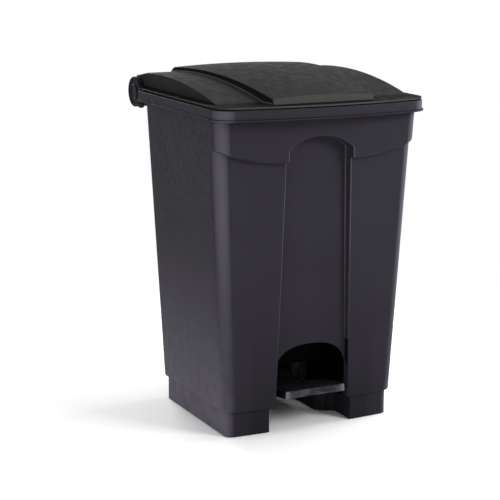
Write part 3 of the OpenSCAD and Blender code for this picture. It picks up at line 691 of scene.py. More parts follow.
def body_solid():
    """Moulded body with its rim, hinge eyes, ears, inside and openings."""
    b, r = sizes("body"), sizes("rim")
    form = BodyForm(b, r)
    shell = body_skin("body", form, r.top_z - 1.5)
    combine(shell, [rim_band(r, b.wall)])
    combine(shell, [cavity(b, r)], "DIFFERENCE")
    right = [hinge_eye(r), *hinge_ears(r)]
    combine(shell, [*right, *[mirrored(part) for part in right]])
    bosses = [rod("boss", y + PIVOT_Y, BOSS_Z, BOSS_R, *BOSS_X, 0.5) for y in (-BOSS_STEP, BOSS_STEP)]
    combine(shell, [*bosses, *[mirrored(part) for part in bosses]])
    combine(shell, [foot_gap(b, 0, 1.4), toe_arch(b, form, 0, 1.6), lever_tunnel(b, 0), rod_groove(b, form, 0, 2.0),
                    rod("bore", hinge_y(r), r.hinge_z, BORE_R, -188, 188)], "DIFFERENCE")
    return shell


# ---- Lid ----


DOME_CREST_Y, DOME_FRONT, DOME_END_TURN = 75.0, -153.0, 80  # crest and front of the dome; its end on the barrel
PANEL_FRONT, PANEL_REAR, PANEL_CREST_Y, PANEL_DROP = -169.0, 152.0, 65.0, 234.0  # the panel and its curve
PANEL_LOW_Z = 571.7  # height of the panel's long edges at its front
PANEL_SPLAY, PANEL_LEAN = 0.097, 0.095  # how the panel widens towards the rear, and how its walls lean out
RUN_OUT_Y, RUN_OUT_Z, RUN_OUT_FALL = 140, 588.87, 0.1835  # straight fall from the dome to the barrel
KNUCKLE_T, KNUCKLES = 6, (60, 140)
LUG_ARM, LUG_T, LUG_TIP, LUG_HUB, OPENING = 37.098, 4.5, 5.5, 12, 78
BUFFER_R, BUFFER_STEM = 5, 2


def dome_z(l, y, inset=0.0):
    """Height of the dome, inset from its surface."""
    return l.dome_z - l.dome_r + math.sqrt((l.dome_r - inset) ** 2 - (y - DOME_CREST_Y) ** 2)


def dome_outline(l, r, inset=0.0):
    """Side view of the dome, from the flange over the crest to the hinge barrel."""
    low = r.top_z + l.gap
    front, end = 2 * inset + DOME_FRONT, rim_rear(r) - 3
    points = [(front, low - inset)]
    points += [(y, dome_z(l, y, inset)) for y in np.linspace(front, end, 34)]
    a, radius = math.radians(DOME_END_TURN), r.barrel_r - inset
    points += [(hinge_y(r) + radius * math.cos(a), r.hinge_z + radius * math.sin(a)), (hinge_y(r), r.hinge_z)]
    return [*points, (rim_rear(r), low - inset)]


def panel_top(l, y):
    """Height of the long edges of the raised panel."""
    edge = l.height - l.panel_crown
    drop = PANEL_LOW_Z - edge
    radius = (PANEL_DROP ** 2 + drop ** 2) / (-2 * drop)
    return edge - radius + math.sqrt(radius ** 2 - (y - PANEL_CREST_Y) ** 2)


def panel_section(l, y, base, share, inset=0.0):
    """Cross-section of the raised panel at y. Share is how much of its height stands there."""
    low = base - 3.5
    half = l.panel_half + PANEL_SPLAY * y - inset
    edge = base + (panel_top(l, y) - inset - base) * share
    crown = l.panel_crown * share
    height = max(edge - base, 0.02)
    round_r = min(1.2, 0.4 * height)
    foot_r = 0.0 if inset else min(4.5, 0.55 * height)
    right = [(half * k, edge + crown * (1 - k * k)) for k in np.linspace(0, 1 - round_r / half, 10)]
    top = right[-1][1]
    right += [(half - round_r + round_r * s, top - round_r * (1 - c)) for s, c in turn(4)][1:]
    wall = half + PANEL_LEAN * (height - foot_r)
    right += [(wall + foot_r * (1 - c), base + foot_r * (1 - s)) for s, c in turn(6)]
    right.append((wall + foot_r + 0.01, low - inset))
    return [(x, y, z) for x, z in right] + [(-x, y, z) for x, z in reversed(right[1:])]


def panel_solid(l, r, inset=0.0):
    """Raised panel of the lid with its slanted front face and its rear end that runs out to the barrel."""
    flange = r.top_z + l.gap + l.flange_t
    front, rear = PANEL_FRONT + inset, PANEL_REAR - inset
    toe, soft, fade, tail = 4.3, 0.9, 6, 20
    stations = [(front - toe - soft + soft * 0.5 * k, 0.02 * k * k) for k in range(3)]
    stations += [(front - toe + toe * t, 0.06 + 0.9 * t) for t in np.linspace(0.05, 0.94, 4)]
    stations += [(front + 0.25, 0.965), (front + 0.7, 0.985), (front + 1.3, 0.996)]
    stations += [(y, 1.0) for y in np.linspace(front + 2.2, rear - fade, 30)]
    stations += [(rear - fade + tail * t, 1 - t * t * (3 - 2 * t)) for t in np.linspace(0.1, 1, 9)]
    rings = []
    for y, share in stations:
        barrel = r.hinge_z + math.sqrt(max(r.barrel_r ** 2 - (y - hinge_y(r)) ** 2, 0))
        dome = dome_z(l, y) if y < RUN_OUT_Y else RUN_OUT_Z - RUN_OUT_FALL * (y - RUN_OUT_Y)
        surface = max(dome, flange, barrel if y > RUN_OUT_Y + 10 else 0)
        rings.append(panel_section(l, y, surface - 0.04 - inset, share, inset))
    return loft("panel", rings)


def barrel_solid(r):
    """Hinge barrel with rounded ends."""
    edge = 1.5
    left = [(edge * (1 - c) - r.barrel_half, r.barrel_r - edge * (1 - s)) for s, c in turn(4)]
    right = [(-x, radius) for x, radius in reversed(left)]
    profile = [(-r.barrel_half, 0), *left, *right, (r.barrel_half, 0)]
    return lathe_x("barrel", hinge_y(r), r.hinge_z, profile, 120)


def lid_solid():
    """Moulded lid: flange, dome, raised panel, hollow barrel, knuckles and lug."""
    l, r = sizes("lid"), sizes("rim")
    y, z, low, w = hinge_y(r), r.hinge_z, r.top_z + l.gap, l.wall
    top, under = 1.5, 0.7
    levels = [(under * (1 - s), low + under * (1 - c)) for s, c in turn(3)]
    levels += [(top * (1 - c), low + l.flange_t - top + top * s) for s, c in turn(5)]
    lid = loft("domed_lid", [at(rim_plan(r, 1 + inset), level) for inset, level in levels])
    dome = prism("dome", dome_outline(l, r), -l.dome_half, l.dome_half, "x", 2.0, 4)
    combine(lid, [dome, barrel_solid(r), panel_solid(l, r)])
    rear, front = rim_rear(r) - 2, rim_rear(r) - 20
    tie = prism("tie", [(-PAST, front), (PAST, front), (PAST, rear), (-PAST, rear)], low + 0.4,
                low + l.flange_t - 0.4)
    space = prism("space", dome_outline(l, r, w), w - l.dome_half, l.dome_half - w, "x", 1.5)
    combine(space, [panel_solid(l, r, w)])
    combine(space, [tie], "DIFFERENCE")
    inside = r.barrel_half - 3
    hollow = rod("bore", y, z, r.barrel_r - 3, -inside, inside, 0, 96)
    gap = prism("gap", [(y, z), *circle(y, z, r.barrel_r + 3, 14, 150, 290)], -inside, inside, "x")
    combine(lid, [space, hollow, gap], "DIFFERENCE")
    knuckles = [rod("knuckle", y, z, r.barrel_r - 2.5, x, x + KNUCKLE_T, 0.5) for x in KNUCKLES]
    combine(lid, [*knuckles, *[mirrored(part) for part in knuckles], *lug_parts(r)])
    holes = [rod("bore", y, z, BORE_R, -200, 200), rod("bore", *lug_pin_at(r), 3, -12, 12)]
    return combine(lid, holes, "DIFFERENCE")


def buffer_set():
    """Soft buffers under the flange, each with a stem that ends inside the plastic."""
    l = sizes("lid")
    low, high = (np.array(corner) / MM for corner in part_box("lid_buffers"))
    flat = l.gap + sizes("rim").top_z - low[2]
    tip = flat + l.flange_t - 1
    profile = [(0, 0), (0, 4.3), (0.25, 4.8), (0.7, BUFFER_R), (flat, BUFFER_R), (flat, BUFFER_STEM),
               (tip, BUFFER_STEM), (tip, 0)]
    places = [(x, y, low[2]) for x in (low[0] + BUFFER_R, high[0] - BUFFER_R)
              for y in (low[1] + BUFFER_R, high[1] - BUFFER_R)]
    return fastened("lid_buffer_set", places, (0, 0, 1), upright("buffer", profile), "rubber")


def lug_pin_at(r):
    """Y and Z of the lug's pin with the lid shut: half the opening angle below the level of the hinge."""
    half_turn = math.radians(OPENING / 2)
    return hinge_y(r) - LUG_ARM * math.cos(half_turn), r.hinge_z - LUG_ARM * math.sin(half_turn)


def lug_parts(r):
    """Lug that the lift rod pushes, inside the hinge barrel."""
    hub, tip = np.array([hinge_y(r), r.hinge_z]), np.array(lug_pin_at(r))
    along = (tip - hub) / np.linalg.norm(tip - hub)
    side = np.array([along[1], -along[0]])
    arm = [hub + side * 9, tip + side * LUG_TIP, tip - side * LUG_TIP, hub - side * 9]
    fan = [hub, *circle(*hub, r.barrel_r - 2.5, 12, -60, 120)]
    plates = [prism(name, outline, -LUG_T, LUG_T, "x") for name, outline in (("arm", arm), ("fan", fan))]
    rounds = [rod("round", *centre, radius, -LUG_T, LUG_T) for centre, radius in ((tip, LUG_TIP), (hub, LUG_HUB))]
    return [plates[0], *rounds, plates[1]]


# ---- Pedal, plugs and screws ----

PEDAL_FRONT, PEDAL_TOP = -138.0, 13.0  # in the lever's own frame
RIB_HALF, RIB_R, RIB_PITCH, RIB_START = 52.5, 1.5, 9, 10.5
SCREW_HEAD_R, SCREW_HEAD_H, SCREW_R = 3.8, 2.4, 2.0
SLOT_LONG, SLOT_WIDE, SLOT_DEEP = 2.1, 0.42, 1.2
BRACKET_X = 39.0  # inner face of a pivot bracket
SCREW_LONG = {"bracket": 18, "guide": 12, "pedal": 5}

REST_TILT = math.radians(7.15)
ROD_TILT = math.atan((139 - 120.4) / 496)  # the rear wall's draft
ROD_Y = 113  # Y of the lift rod at the height of the pivot


def lever_matrix():
    """Place of the lever at rest, from its own frame with the pivot at the origin."""
    return Matrix.Translation((0, PIVOT_Y * MM, PIVOT_Z * MM)) @ Matrix.Rotation(-REST_TILT, 4, "X")


def soft_box(name, half, y0, y1, corner, levels):
    """Box with rounded corners in plan. Levels are (inset, height) pairs from the bottom up."""
    rings = []
    for inset, z in levels:
        r = max(corner - inset, 0.3)
        x, rear, front = half - inset - r, y1 - inset - r, y0 + inset + r
        plan = [(x, rear, 0), (-x, rear, 90), (-x, front, 180), (x, front, 270)]
        rings.append([(px, py, z) for cx, cy, a in plan for px, py in circle(cx, cy, r, 8, a, a + 90)])
    return loft(name, rings)


def grip_rib():
    """One grip rib, centred on its origin, with a rounded back."""
    profile = [(-RIB_R, -0.5), (RIB_R, -0.5), (RIB_R, 0.3),
               *circle(0, 0.3, RIB_R, 8, 0, 180)[1:-1] * (1, 0.35) + (0, 0.2), (-RIB_R, 0.3)]
    return prism("rib", profile, -RIB_HALF, RIB_HALF, "x", 0.7)


def piece_tree(name, given_sockets):
    """Geometry Nodes group that sets one object on points: the group, its inputs and its instancing node."""
    tree = bpy.data.node_groups.new(name, "GeometryNodeTree")
    for label, kind in (("Geometry", "Geometry"), ("Piece", "Object"), *given_sockets, ("Material", "Material")):
        tree.interface.new_socket(label, in_out="INPUT", socket_type="NodeSocket" + kind)
    tree.interface.new_socket("Geometry", in_out="OUTPUT", socket_type="NodeSocketGeometry")
    given, info, place, real, paint, result = (tree.nodes.new(kind) for kind in (
        "NodeGroupInput", "GeometryNodeObjectInfo", "GeometryNodeInstanceOnPoints", "GeometryNodeRealizeInstances",
        "GeometryNodeSetMaterial", "NodeGroupOutput"))
    for source, target in ((given.outputs["Piece"], info.inputs["Object"]),
                           (info.outputs["Geometry"], place.inputs["Instance"]),
                           (place.outputs["Instances"], real.inputs["Geometry"]),
                           (real.outputs["Geometry"], paint.inputs["Geometry"]),
                           (given.outputs["Material"], paint.inputs["Material"]),
                           (paint.outputs["Geometry"], result.inputs["Geometry"])):
        tree.links.new(source, target)
    return tree, given, place


def repeat_tree():
    """Geometry Nodes group that repeats one object along a line."""
    sockets = (("Count", "Int"), ("Start", "Vector"), ("Pitch", "Vector"))
    tree, given, place = piece_tree("Repeat along a line", sockets)
    line = tree.nodes.new("GeometryNodeMeshLine")
    for label, target in (("Count", "Count"), ("Start", "Start Location"), ("Pitch", "Offset")):
        tree.links.new(given.outputs[label], line.inputs[target])
    tree.links.new(line.outputs["Mesh"], place.inputs["Points"])
    return tree


def fastener_tree():
    """Geometry Nodes group that sets one object on each point, along the point's own axis."""
    tree, given, place = piece_tree("Fasteners on points", ())
    axis, aim = tree.nodes.new("GeometryNodeInputNamedAttribute"), tree.nodes.new("FunctionNodeAlignRotationToVector")
    axis.data_type = "FLOAT_VECTOR"
    axis.inputs["Name"].default_value = "axis"
    tree.links.new(given.outputs["Geometry"], place.inputs["Points"])
    tree.links.new(axis.outputs["Attribute"], aim.inputs["Vector"])
    tree.links.new(aim.outputs["Rotation"], place.inputs["Rotation"])
    return tree


def run_tree(thing, tree, values):
    """Runs a node group on an object, keeps the result as its plain mesh and deletes the piece that it set."""
    modifier = thing.modifiers.new("nodes", "NODES")
    modifier.node_group = tree
    for item in tree.interface.items_tree:
        if item.in_out == "INPUT" and item.name in values:
            modifier[item.identifier] = values[item.name]
    apply_modifiers(thing)
    bpy.data.objects.remove(values["Piece"])
    return thing


def point_object(name, points, axes):
    """Loose points in millimetres, each with the axis that its screw points along."""
    mesh = bpy.data.meshes.new(name)
    mesh.from_pydata([tuple(c * MM for c in p) for p in points], [], [])
    mesh.attributes.new("axis", "FLOAT_VECTOR", "POINT").data.foreach_set("vector", [c for a in axes for c in a])
    thing = bpy.data.objects.new(name, mesh)
    bpy.context.scene.collection.objects.link(thing)
    return thing


def upright(name, profile):
    """Solid of revolution about Z from (height, radius) pairs."""
    thing = lathe_x(name, 0, 0, profile, 40)
    thing.data.transform(Matrix.Rotation(math.radians(-90), 4, "Y"))
    return thing


def screw_template(shank):
    """Pan-head screw with a cross recess. Its head sits on the plane z = 0 and its shank points down."""
    r, h, low = SCREW_HEAD_R, SCREW_HEAD_H, 0.9
    profile = [(-shank, 0), (-shank, 1.4), (0.6 - shank, SCREW_R), (0, SCREW_R), (0, r - 0.2), (0.3, r), (low, r)]
    profile += [(low + (h - low) * s, r * 0.45 + r * 0.55 * c) for s, c in turn(6)][1:] + [(h, 0)]
    arms = [prism("slot", [(-a, -b), (a, -b), (a, b), (-a, b)], h - SLOT_DEEP, h + 1)
            for a, b in ((SLOT_LONG, SLOT_WIDE), (SLOT_WIDE, SLOT_LONG))]
    return combine(upright("screw", profile), arms, "DIFFERENCE")


def fastened(name, points, axis, piece, slot):
    """One mesh with a piece set at every point, along one axis or along an axis for each point."""
    axes = axis if isinstance(axis, list) else [axis] * len(points)
    values = {"Piece": piece, "Material": material_for(slot)}
    return run_tree(point_object(name, points, axes), fastener_tree(), values)


def rod_frame(x, y, z):
    """Point of the lift rod's own frame, placed at rest."""
    s, c = math.sin(ROD_TILT), math.cos(ROD_TILT)
    return (x, ROD_Y + y * c + z * s, PIVOT_Z - y * s + z * c)


def pedal_solid():
    """Pedal with a rounded front lip, a hollow underside and grip ribs."""
    p = sizes("pedal")
    half, front, back = p.width / 2, PEDAL_FRONT, PEDAL_FRONT + p.depth
    top, low, wall, edge, foot = PEDAL_TOP, PEDAL_TOP - p.lip, 3.0, 1.6, 0.5
    levels = [(foot * (1 - s), low + foot * (1 - c)) for s, c in turn(2)]
    levels += [(edge * (1 - c), top - edge + edge * s) for s, c in turn(5)]
    pad = soft_box("pedal", half, front, back, 4, levels)
    inside = [(0, low - 1), (0, top - wall)]
    under = soft_box("under", half - wall, front + wall, back - wall, 2, inside)
    notch = soft_box("notch", 21, back - wall - 1, back + 3, 0.5, inside)
    combine(pad, [under, notch], "DIFFERENCE")
    combine(pad, [prism("boss", circle(0, y, 6, 32), 8.5, 11) for y in (front + 22, back - 14)])
    values = {"Piece": grip_rib(), "Count": p.ribs, "Start": (0, (front + RIB_START) * MM, top * MM),
              "Pitch": (0, RIB_PITCH * MM, 0), "Material": material_for("pedal")}
    combine(pad, [run_tree(new_object("grip ribs", [(0, 0, 0)], []), repeat_tree(), values)])
    pad.data.transform(lever_matrix())
    return pad


def plug_solid():
    """Cap over the end of the hinge rod, with a raised ring and a dished face."""
    r = sizes("rim")
    seat, ring, rise, soft = r.eye_half - SUNK, 13, 1.9, 0.7
    profile = [(-2.2, 0), (-2.2, 4), (0, 4), (0, ring - 0.4), (0.4, ring)]
    profile += [(rise - soft * (1 - s), ring - soft * (1 - c)) for c, s in turn(4)]
    profile += [(rise, 10.8), (1.5, 10.2), (1.0, 9.9), (0.9, 9.4), (0.9, 3.2), (1.2, 2.6), (1.3, 0)]
    return lathe_x("hinge plug", hinge_y(r), r.hinge_z, [(seat + x, radius) for x, radius in profile], 96)


# ---- Materials ----

# Regions of the object that bound painted light and shade: two corners in metres, and the fade along each axis.
REGIONS = {
    "upright corners": ((-0.3, -0.3, 0.09), (0.3, 0.12, 1.0), (0.1, 0.1, 0.28)),
    "between sides": ((-0.12, -1, -1), (0.12, 1, 1), (0.01, 0.1, 0.1)),
    "toe space": ((-0.085, -0.137, 0.04), (0.085, 0.12, 0.16), (0.004, 0.02, 0.004)),
    "toe mouth": ((-0.0698, -0.3, 0.04), (0.0698, -0.06, 0.15), (0.001, 0.004, 0.001)),
    "inner foot": ((-0.082, -0.3, -0.2), (0.082, 0.11, 0.05), (0.001, 0.004, 0.001)),
    "hinge eyes": ((-0.3, 0.136, 0.5), (0.3, 0.3, 1.0), (0.01, 0.014, 0.01)),
    "under lip": ((-0.3, -0.3, 0.537), (0.3, 0.3, 0.546), (0.01, 0.01, 0.0005)),
    "panel": ((-0.14, -0.3, 0.0), (0.14, 0.3, 1.0), (0.004, 0.01, 0.01)),
    "pedal lip": ((-1, -1, -1), (1, -0.157, 1), (0.1, 0.001, 0.1)),
}
# Painted shade: how much of each region's colour goes to black.
PAINTED_SHADE = {"toe space": 0.94, "toe mouth": 0.94, "inner foot": 0.517, "hinge eyes": 0.5, "under lip": 0.8}
# Even finishes: a colour with two tones, then the noises (scale, detail) and ranges of tone, roughness and grain.
EVEN = {
    "nylon": {"colour_name": "nylon", "clouds": (90, 3), "tones": (0.8, 1.3), "patches": (200, 3),
              "roughness": (0.40, 0.52), "grain": (1600, 2), "relief": (0.00005, 0.4), "specular": 0.3},
    "plug": {"colour_name": "body", "clouds": (120, 3), "tones": (0.5, 0.8), "patches": (200, 3),
             "roughness": (0.40, 0.50), "grain": (1600, 2), "relief": (0.00005, 0.4), "specular": 0.03},
    "lever": {"colour_name": "nylon", "clouds": (50, 4), "tones": (1.1, 1.5), "patches": (180, 3),
              "roughness": (0.32, 0.42), "grain": (420, 2), "relief": (0.00008, 0.5), "specular": 0.45},
    "rubber": {"colour_name": "rubber", "clouds": (150, 4), "tones": (0.8, 1.8), "patches": (300, 3),
               "roughness": (0.7, 0.85), "grain": (1200, 3), "relief": (0.0001, 0.5), "specular": 0.2},
}
BLACK = (0, 0, 0)


class Recipe:
    """Node tree of one material, with helpers for its usual nodes."""

    def __init__(self, name):
        self.material = bpy.data.materials.new(name)
        self.material.use_nodes = True
        self.tree = self.material.node_tree
        self.shader = self.tree.nodes["Principled BSDF"]
        place = self.tree.nodes.new("ShaderNodeTexCoord")
        self.object, self.normal = place.outputs["Object"], place.outputs["Normal"]

    def link(self, source, target):
        """Joins an output to an input."""
        self.tree.links.new(source, target)

    def noise(self, scale, detail=3.0, stretch=None):
        """Noise value from 0 to 1 with about scale features in a metre."""
        node = self.tree.nodes.new("ShaderNodeTexNoise")
        node.inputs["Scale"].default_value = scale
        node.inputs["Detail"].default_value = detail
        source = self.object
        if stretch:
            mapping = self.tree.nodes.new("ShaderNodeMapping")
            mapping.inputs["Scale"].default_value = stretch
            self.link(source, mapping.inputs["Vector"])
            source = mapping.outputs["Vector"]
        self.link(source, node.inputs["Vector"])
        return node.outputs["Fac"]

    def spread(self, value, low, high, at_low=0.35, at_high=0.65):
        """Value stretched from a band of noise to a range, clamped."""
        node = self.tree.nodes.new("ShaderNodeMapRange")
        for key, number in (("From Min", at_low), ("From Max", at_high), ("To Min", low), ("To Max", high)):
            node.inputs[key].default_value = number
        self.link(value, node.inputs["Value"])
        return node.outputs["Result"]

    def maths(self, operation, first, second):
        """Result of one operation on two values, each a socket or a number."""
        node = self.tree.nodes.new("ShaderNodeMath")
        node.operation = operation
        for socket, value in zip(node.inputs, (first, second)):
            if isinstance(value, (int, float)):
                socket.default_value = value
            else:
                self.link(value, socket)
        return node.outputs["Value"]

    def times(self, *values):
        """Product of several values."""
        return reduce(lambda a, b: self.maths("MULTIPLY", a, b), values)

    def largest(self, *values):
        """Largest of several values."""
        return reduce(lambda a, b: self.maths("MAXIMUM", a, b), values)

    def rest(self, value):
        """What is left of 1 beside the value."""
        return self.maths("SUBTRACT", 1.0, value)

    def mix(self, share, first, second):
        """Colour between two colours by share."""
        node = self.tree.nodes.new("ShaderNodeMix")
        node.data_type = "RGBA"
        self.link(share, node.inputs[0])
        for socket, value in ((node.inputs[6], first), (node.inputs[7], second)):
            if isinstance(value, (tuple, list)):
                socket.default_value = (*value[:3], 1)
            else:
                self.link(value, socket)
        return node.outputs[2]

    def bump(self, height, distance, strength, below=None):
        """Normal with a relief of a distance in metres."""
        node = self.tree.nodes.new("ShaderNodeBump")
        node.inputs["Strength"].default_value = strength
        node.inputs["Distance"].default_value = distance
        self.link(height, node.inputs["Height"])
        if below:
            self.link(below, node.inputs["Normal"])
        return node.outputs["Normal"]

    def part(self, source, axis):
        """One component of a position or a direction."""
        split = self.tree.nodes.new("ShaderNodeSeparateXYZ")
        self.link(source, split.inputs["Vector"])
        return split.outputs[axis]

    def height_share(self, low, high, at_low=0.0, at_high=1.0):
        """Value that runs from at_low below one height to at_high above another, in metres."""
        return self.spread(self.part(self.object, "Z"), at_low, at_high, low, high)

    def inside_box(self, low, high, fade):
        """1 inside a box given by two corners in metres, fading in over a distance along each axis."""
        slopes = []
        for axis, a, b, width in zip("XYZ", low, high, fade):
            place = self.part(self.object, axis)
            slopes += [self.spread(place, 0.0, 1.0, a, a + width), self.spread(place, 1.0, 0.0, b - width, b)]
        return self.times(*slopes)

    def inside(self, region):
        """1 inside one of the named regions."""
        return self.inside_box(*REGIONS[region])

    def facing(self, axis):
        """1 where the surface faces along an axis, either way, and 0 where it faces across it."""
        return self.maths("ABSOLUTE", self.part(self.normal, axis), 0.0)

    def set(self, **values):
        """Sockets or numbers for the shader's inputs, by name with underscores for spaces."""
        for key, value in values.items():
            socket = self.shader.inputs[key.replace("_", " ")]
            if isinstance(value, bpy.types.NodeSocket):
                self.link(value, socket)
            else:
                socket.default_value = value


def tone(value, factor):
    """A colour made paler or darker."""
    return tuple(min(c * factor, 1) for c in value)


def body_material(name):
    """Charcoal polypropylene with painted light and shade: a painted highlight on the upright corners, painted bounce
    light and sheen on the sides towards the foot, painted shade on the front towards the foot and in the openings.
    """
    m, base = Recipe(name), sizes("finish").body
    painted_front_shade, painted_side_light, painted_corner_highlight = tone(base, 0.55), tone(base, 5.0), tone(base, 4.6)
    sideways, forward = m.facing("X"), m.facing("Y")
    foot = m.height_share(0.02, 0.42, 1.0, 0.0)
    foot = m.times(foot, foot)
    paint = m.mix(m.spread(m.noise(9, 5), 0.0, 1.0), tone(base, 0.95), tone(base, 1.05))
    # Painted shade: front-facing faces are darkened towards the foot.
    paint = m.mix(m.times(foot, forward), paint, painted_front_shade)
    # Painted highlight: the upright rounded corners between side and front are made paler, more so higher up.
    corner = m.times(m.spread(m.times(sideways, forward), 0.0, 0.72, 0.16, 0.5), m.inside("upright corners"))
    paint = m.mix(corner, paint, painted_corner_highlight)
    # Painted light: the sides are lightened in noisy patches towards the foot, as by light bounced from the floor,
    # and by a faint painted sheen all over.
    patch_mask = m.times(foot, sideways, m.rest(m.inside("between sides")), m.spread(m.noise(60, 7), 0.72, 1.0), 0.9)
    side_sheen = m.times(sideways, m.spread(m.noise(110, 8), 0.0, 0.08, 0.36, 0.68))
    paint = m.mix(m.largest(patch_mask, side_sheen), paint, painted_side_light)
    across = m.rest(forward)
    limits = {"toe mouth": across, "inner foot": across, "under lip": m.facing("Z")}
    # Painted shade in the toe recess and its mouth, between the feet, on the hinge eyes and under the rim's lip.
    shade = m.largest(*[m.times(m.inside(region), limits.get(region, 1.0), share)
                        for region, share in PAINTED_SHADE.items()])
    grain = m.bump(m.noise(1500, 2), 0.00006, 0.6)
    m.set(Base_Color=m.mix(shade, paint, BLACK), Roughness=m.spread(m.noise(60, 5), 0.44, 0.52),
          Normal=m.bump(m.noise(240, 2), 0.00005, 0.35, grain), Specular_IOR_Level=0.02)
    return m.material


def lid_material(name):
    """Near-black polypropylene, mottled by handling, with painted highlights on the ridges and the front-facing
    faces, and painted shade on the side walls and the flange.
    """
    m, base = Recipe(name), sizes("finish").lid
    mottle = m.spread(m.noise(80, 8, (1.0, 0.6, 1.0)), 0.0, 1.0, 0.38, 0.64)
    paint = m.mix(mottle, tone(base, 0.9), tone(base, 1.14))
    # Painted shade: sideways-facing faces of the raised panel go near black; those outside it are barely changed.
    walls = m.mix(m.inside("panel"), tone(base, 1.05), tone(base, 0.15))
    paint = m.mix(m.facing("X"), paint, walls)
    flange = sizes("rim").top_z + sizes("lid").gap + sizes("lid").flange_t
    # Painted shade: the flange and what lies below it go most of the way to black.
    paint = m.mix(m.height_share((flange + 0.5) * MM, (flange + 2.5) * MM, 0.8, 0.0), paint, BLACK)
    # Painted highlight along the rounded ridges that turn from the sides to the top.
    ridge_highlight = m.spread(m.times(m.facing("X"), m.facing("Z")), 0.0, 0.8, 0.30, 0.48)
    paint = m.mix(ridge_highlight, paint, tone(base, 3.2))
    # Painted light: front-facing faces are made paler.
    m.set(Base_Color=m.mix(m.times(m.facing("Y"), 0.85), paint, tone(base, 3.0)),
          Roughness=m.spread(mottle, 0.56, 0.40, 0.0, 1.0),
          Normal=m.bump(m.noise(1300, 2), 0.00007, 0.6), Specular_IOR_Level=0.006)
    return m.material


def pedal_material(name):
    """Black nylon, glossier where shoes polish it, with a front lip lightened by rubbed streaks and painted light,
    and painted highlights at the lip's ends.
    """
    m, base, half = Recipe(name), sizes("finish").pedal, sizes("pedal").width / 2 * MM
    patch_mask = m.spread(m.noise(60, 8, (1.0, 5.0, 5.0)), 0.0, 1.0, 0.55, 0.72)
    paint = m.mix(patch_mask, tone(base, 0.3), tone(base, 1.1))
    # Painted light on the front lip, in rubbed streaks.
    lip = m.times(m.facing("Y"), m.inside("pedal lip"))
    streaks = m.spread(m.noise(60, 8, (1.0, 3.0, 3.0)), 0.30, 0.9, 0.40, 0.62)
    middle = m.inside_box((0.004 - half, -1, -1), (half - 0.004, 1, 1), (0.008, 0.1, 0.1))
    paint = m.mix(m.times(lip, streaks), paint, tone(base, 3.6))
    # Painted highlights at the ends of the front lip.
    m.set(Base_Color=m.mix(m.times(lip, m.rest(middle)), paint, tone(base, 7.5)),
          Roughness=m.spread(patch_mask, 0.40, 0.60, 0.0, 1.0),
          Normal=m.bump(m.noise(500, 3, (1.0, 3.0, 3.0)), 0.00008, 0.5), Specular_IOR_Level=0.02)
    return m.material


def steel_material(name):
    """Blackened steel with drawing marks and a patchy oil film."""
    m, base = Recipe(name), sizes("finish").steel
    film = m.spread(m.noise(45, 5), 0.0, 1.0)
    m.set(Base_Color=m.mix(film, tone(base, 0.88), tone(base, 1.4)), Metallic=1.0,
          Roughness=m.spread(m.noise(700, 3, (1.0, 1.0, 0.08)), 0.24, 0.40),
          Normal=m.bump(m.noise(900, 2, (1.0, 1.0, 0.06)), 0.00003, 0.4))
    return m.material


def even_material(name, colour_name, clouds, tones, patches, roughness, grain, relief, specular):
    """Finish that is the same all over but for fine noise."""
    m, base = Recipe(name), getattr(sizes("finish"), colour_name)
    m.set(Base_Color=m.mix(m.noise(*clouds), *(tone(base, factor) for factor in tones)),
          Roughness=m.spread(m.noise(*patches), *roughness), Normal=m.bump(m.noise(*grain), *relief),
          Specular_IOR_Level=specular)
    return m.material


RECIPES = {"body": body_material, "lid": lid_material, "pedal": pedal_material, "steel": steel_material}


def material_for(name):
    """Finish of a slot, made at its first use and kept apart from the frame's plain one."""
    finish = name + "_finish"
    made = bpy.data.materials.get(finish)
    if not made:
        made = RECIPES[name](finish) if name in RECIPES else even_material(finish, **EVEN[name])
    return made


# ---- Stage ----

FLOOR = 9000  # half the floor's side
FLOOR_GAIN = 1.36  # brings the lit floor up to white before the camera
FLOOR_NEAR, FLOOR_FAR = 0.45, 1.1  # distances in metres between which the floor runs out to white
WORLD_LIGHT = 0.42
LAMPS = {  # place, aim, size in metres, watts
    "left": ((-1.9, -0.8, 0.5), (0, 0, 0.25), (0.4, 1.0), 3),
    "front": ((1.3, -1.9, 1.5), (0, 0, 0.4), (0.9, 0.8), 28),
    "back": ((0.0, 2.2, 1.2), (0, 0, 0.58), (1.0, 0.6), 32),
    "right": ((2.2, -0.1, 1.8), (0, 0, 0.4), (1.4, 1.4), 30),
}
LENS, SENSOR, CLIP_END = 108.67, 36, 50
CAMERA_ANGLES = (-27.02, 12.47, 0.41)  # azimuth, elevation and roll in degrees
CAMERA_TARGET, CAMERA_DISTANCE = (-46.4, 0, 286.71), 2642.74


def seen(tree):
    """1 for the rays that should meet the white background, else 0."""
    path = tree.nodes.new("ShaderNodeLightPath")
    total = path.outputs["Is Camera Ray"]
    for key in ("Is Glossy Ray", "Is Transmission Ray"):
        node = tree.nodes.new("ShaderNodeMath")
        node.operation = "MAXIMUM"
        tree.links.new(total, node.inputs[0])
        tree.links.new(path.outputs[key], node.inputs[1])
        total = node.outputs[0]
    return total


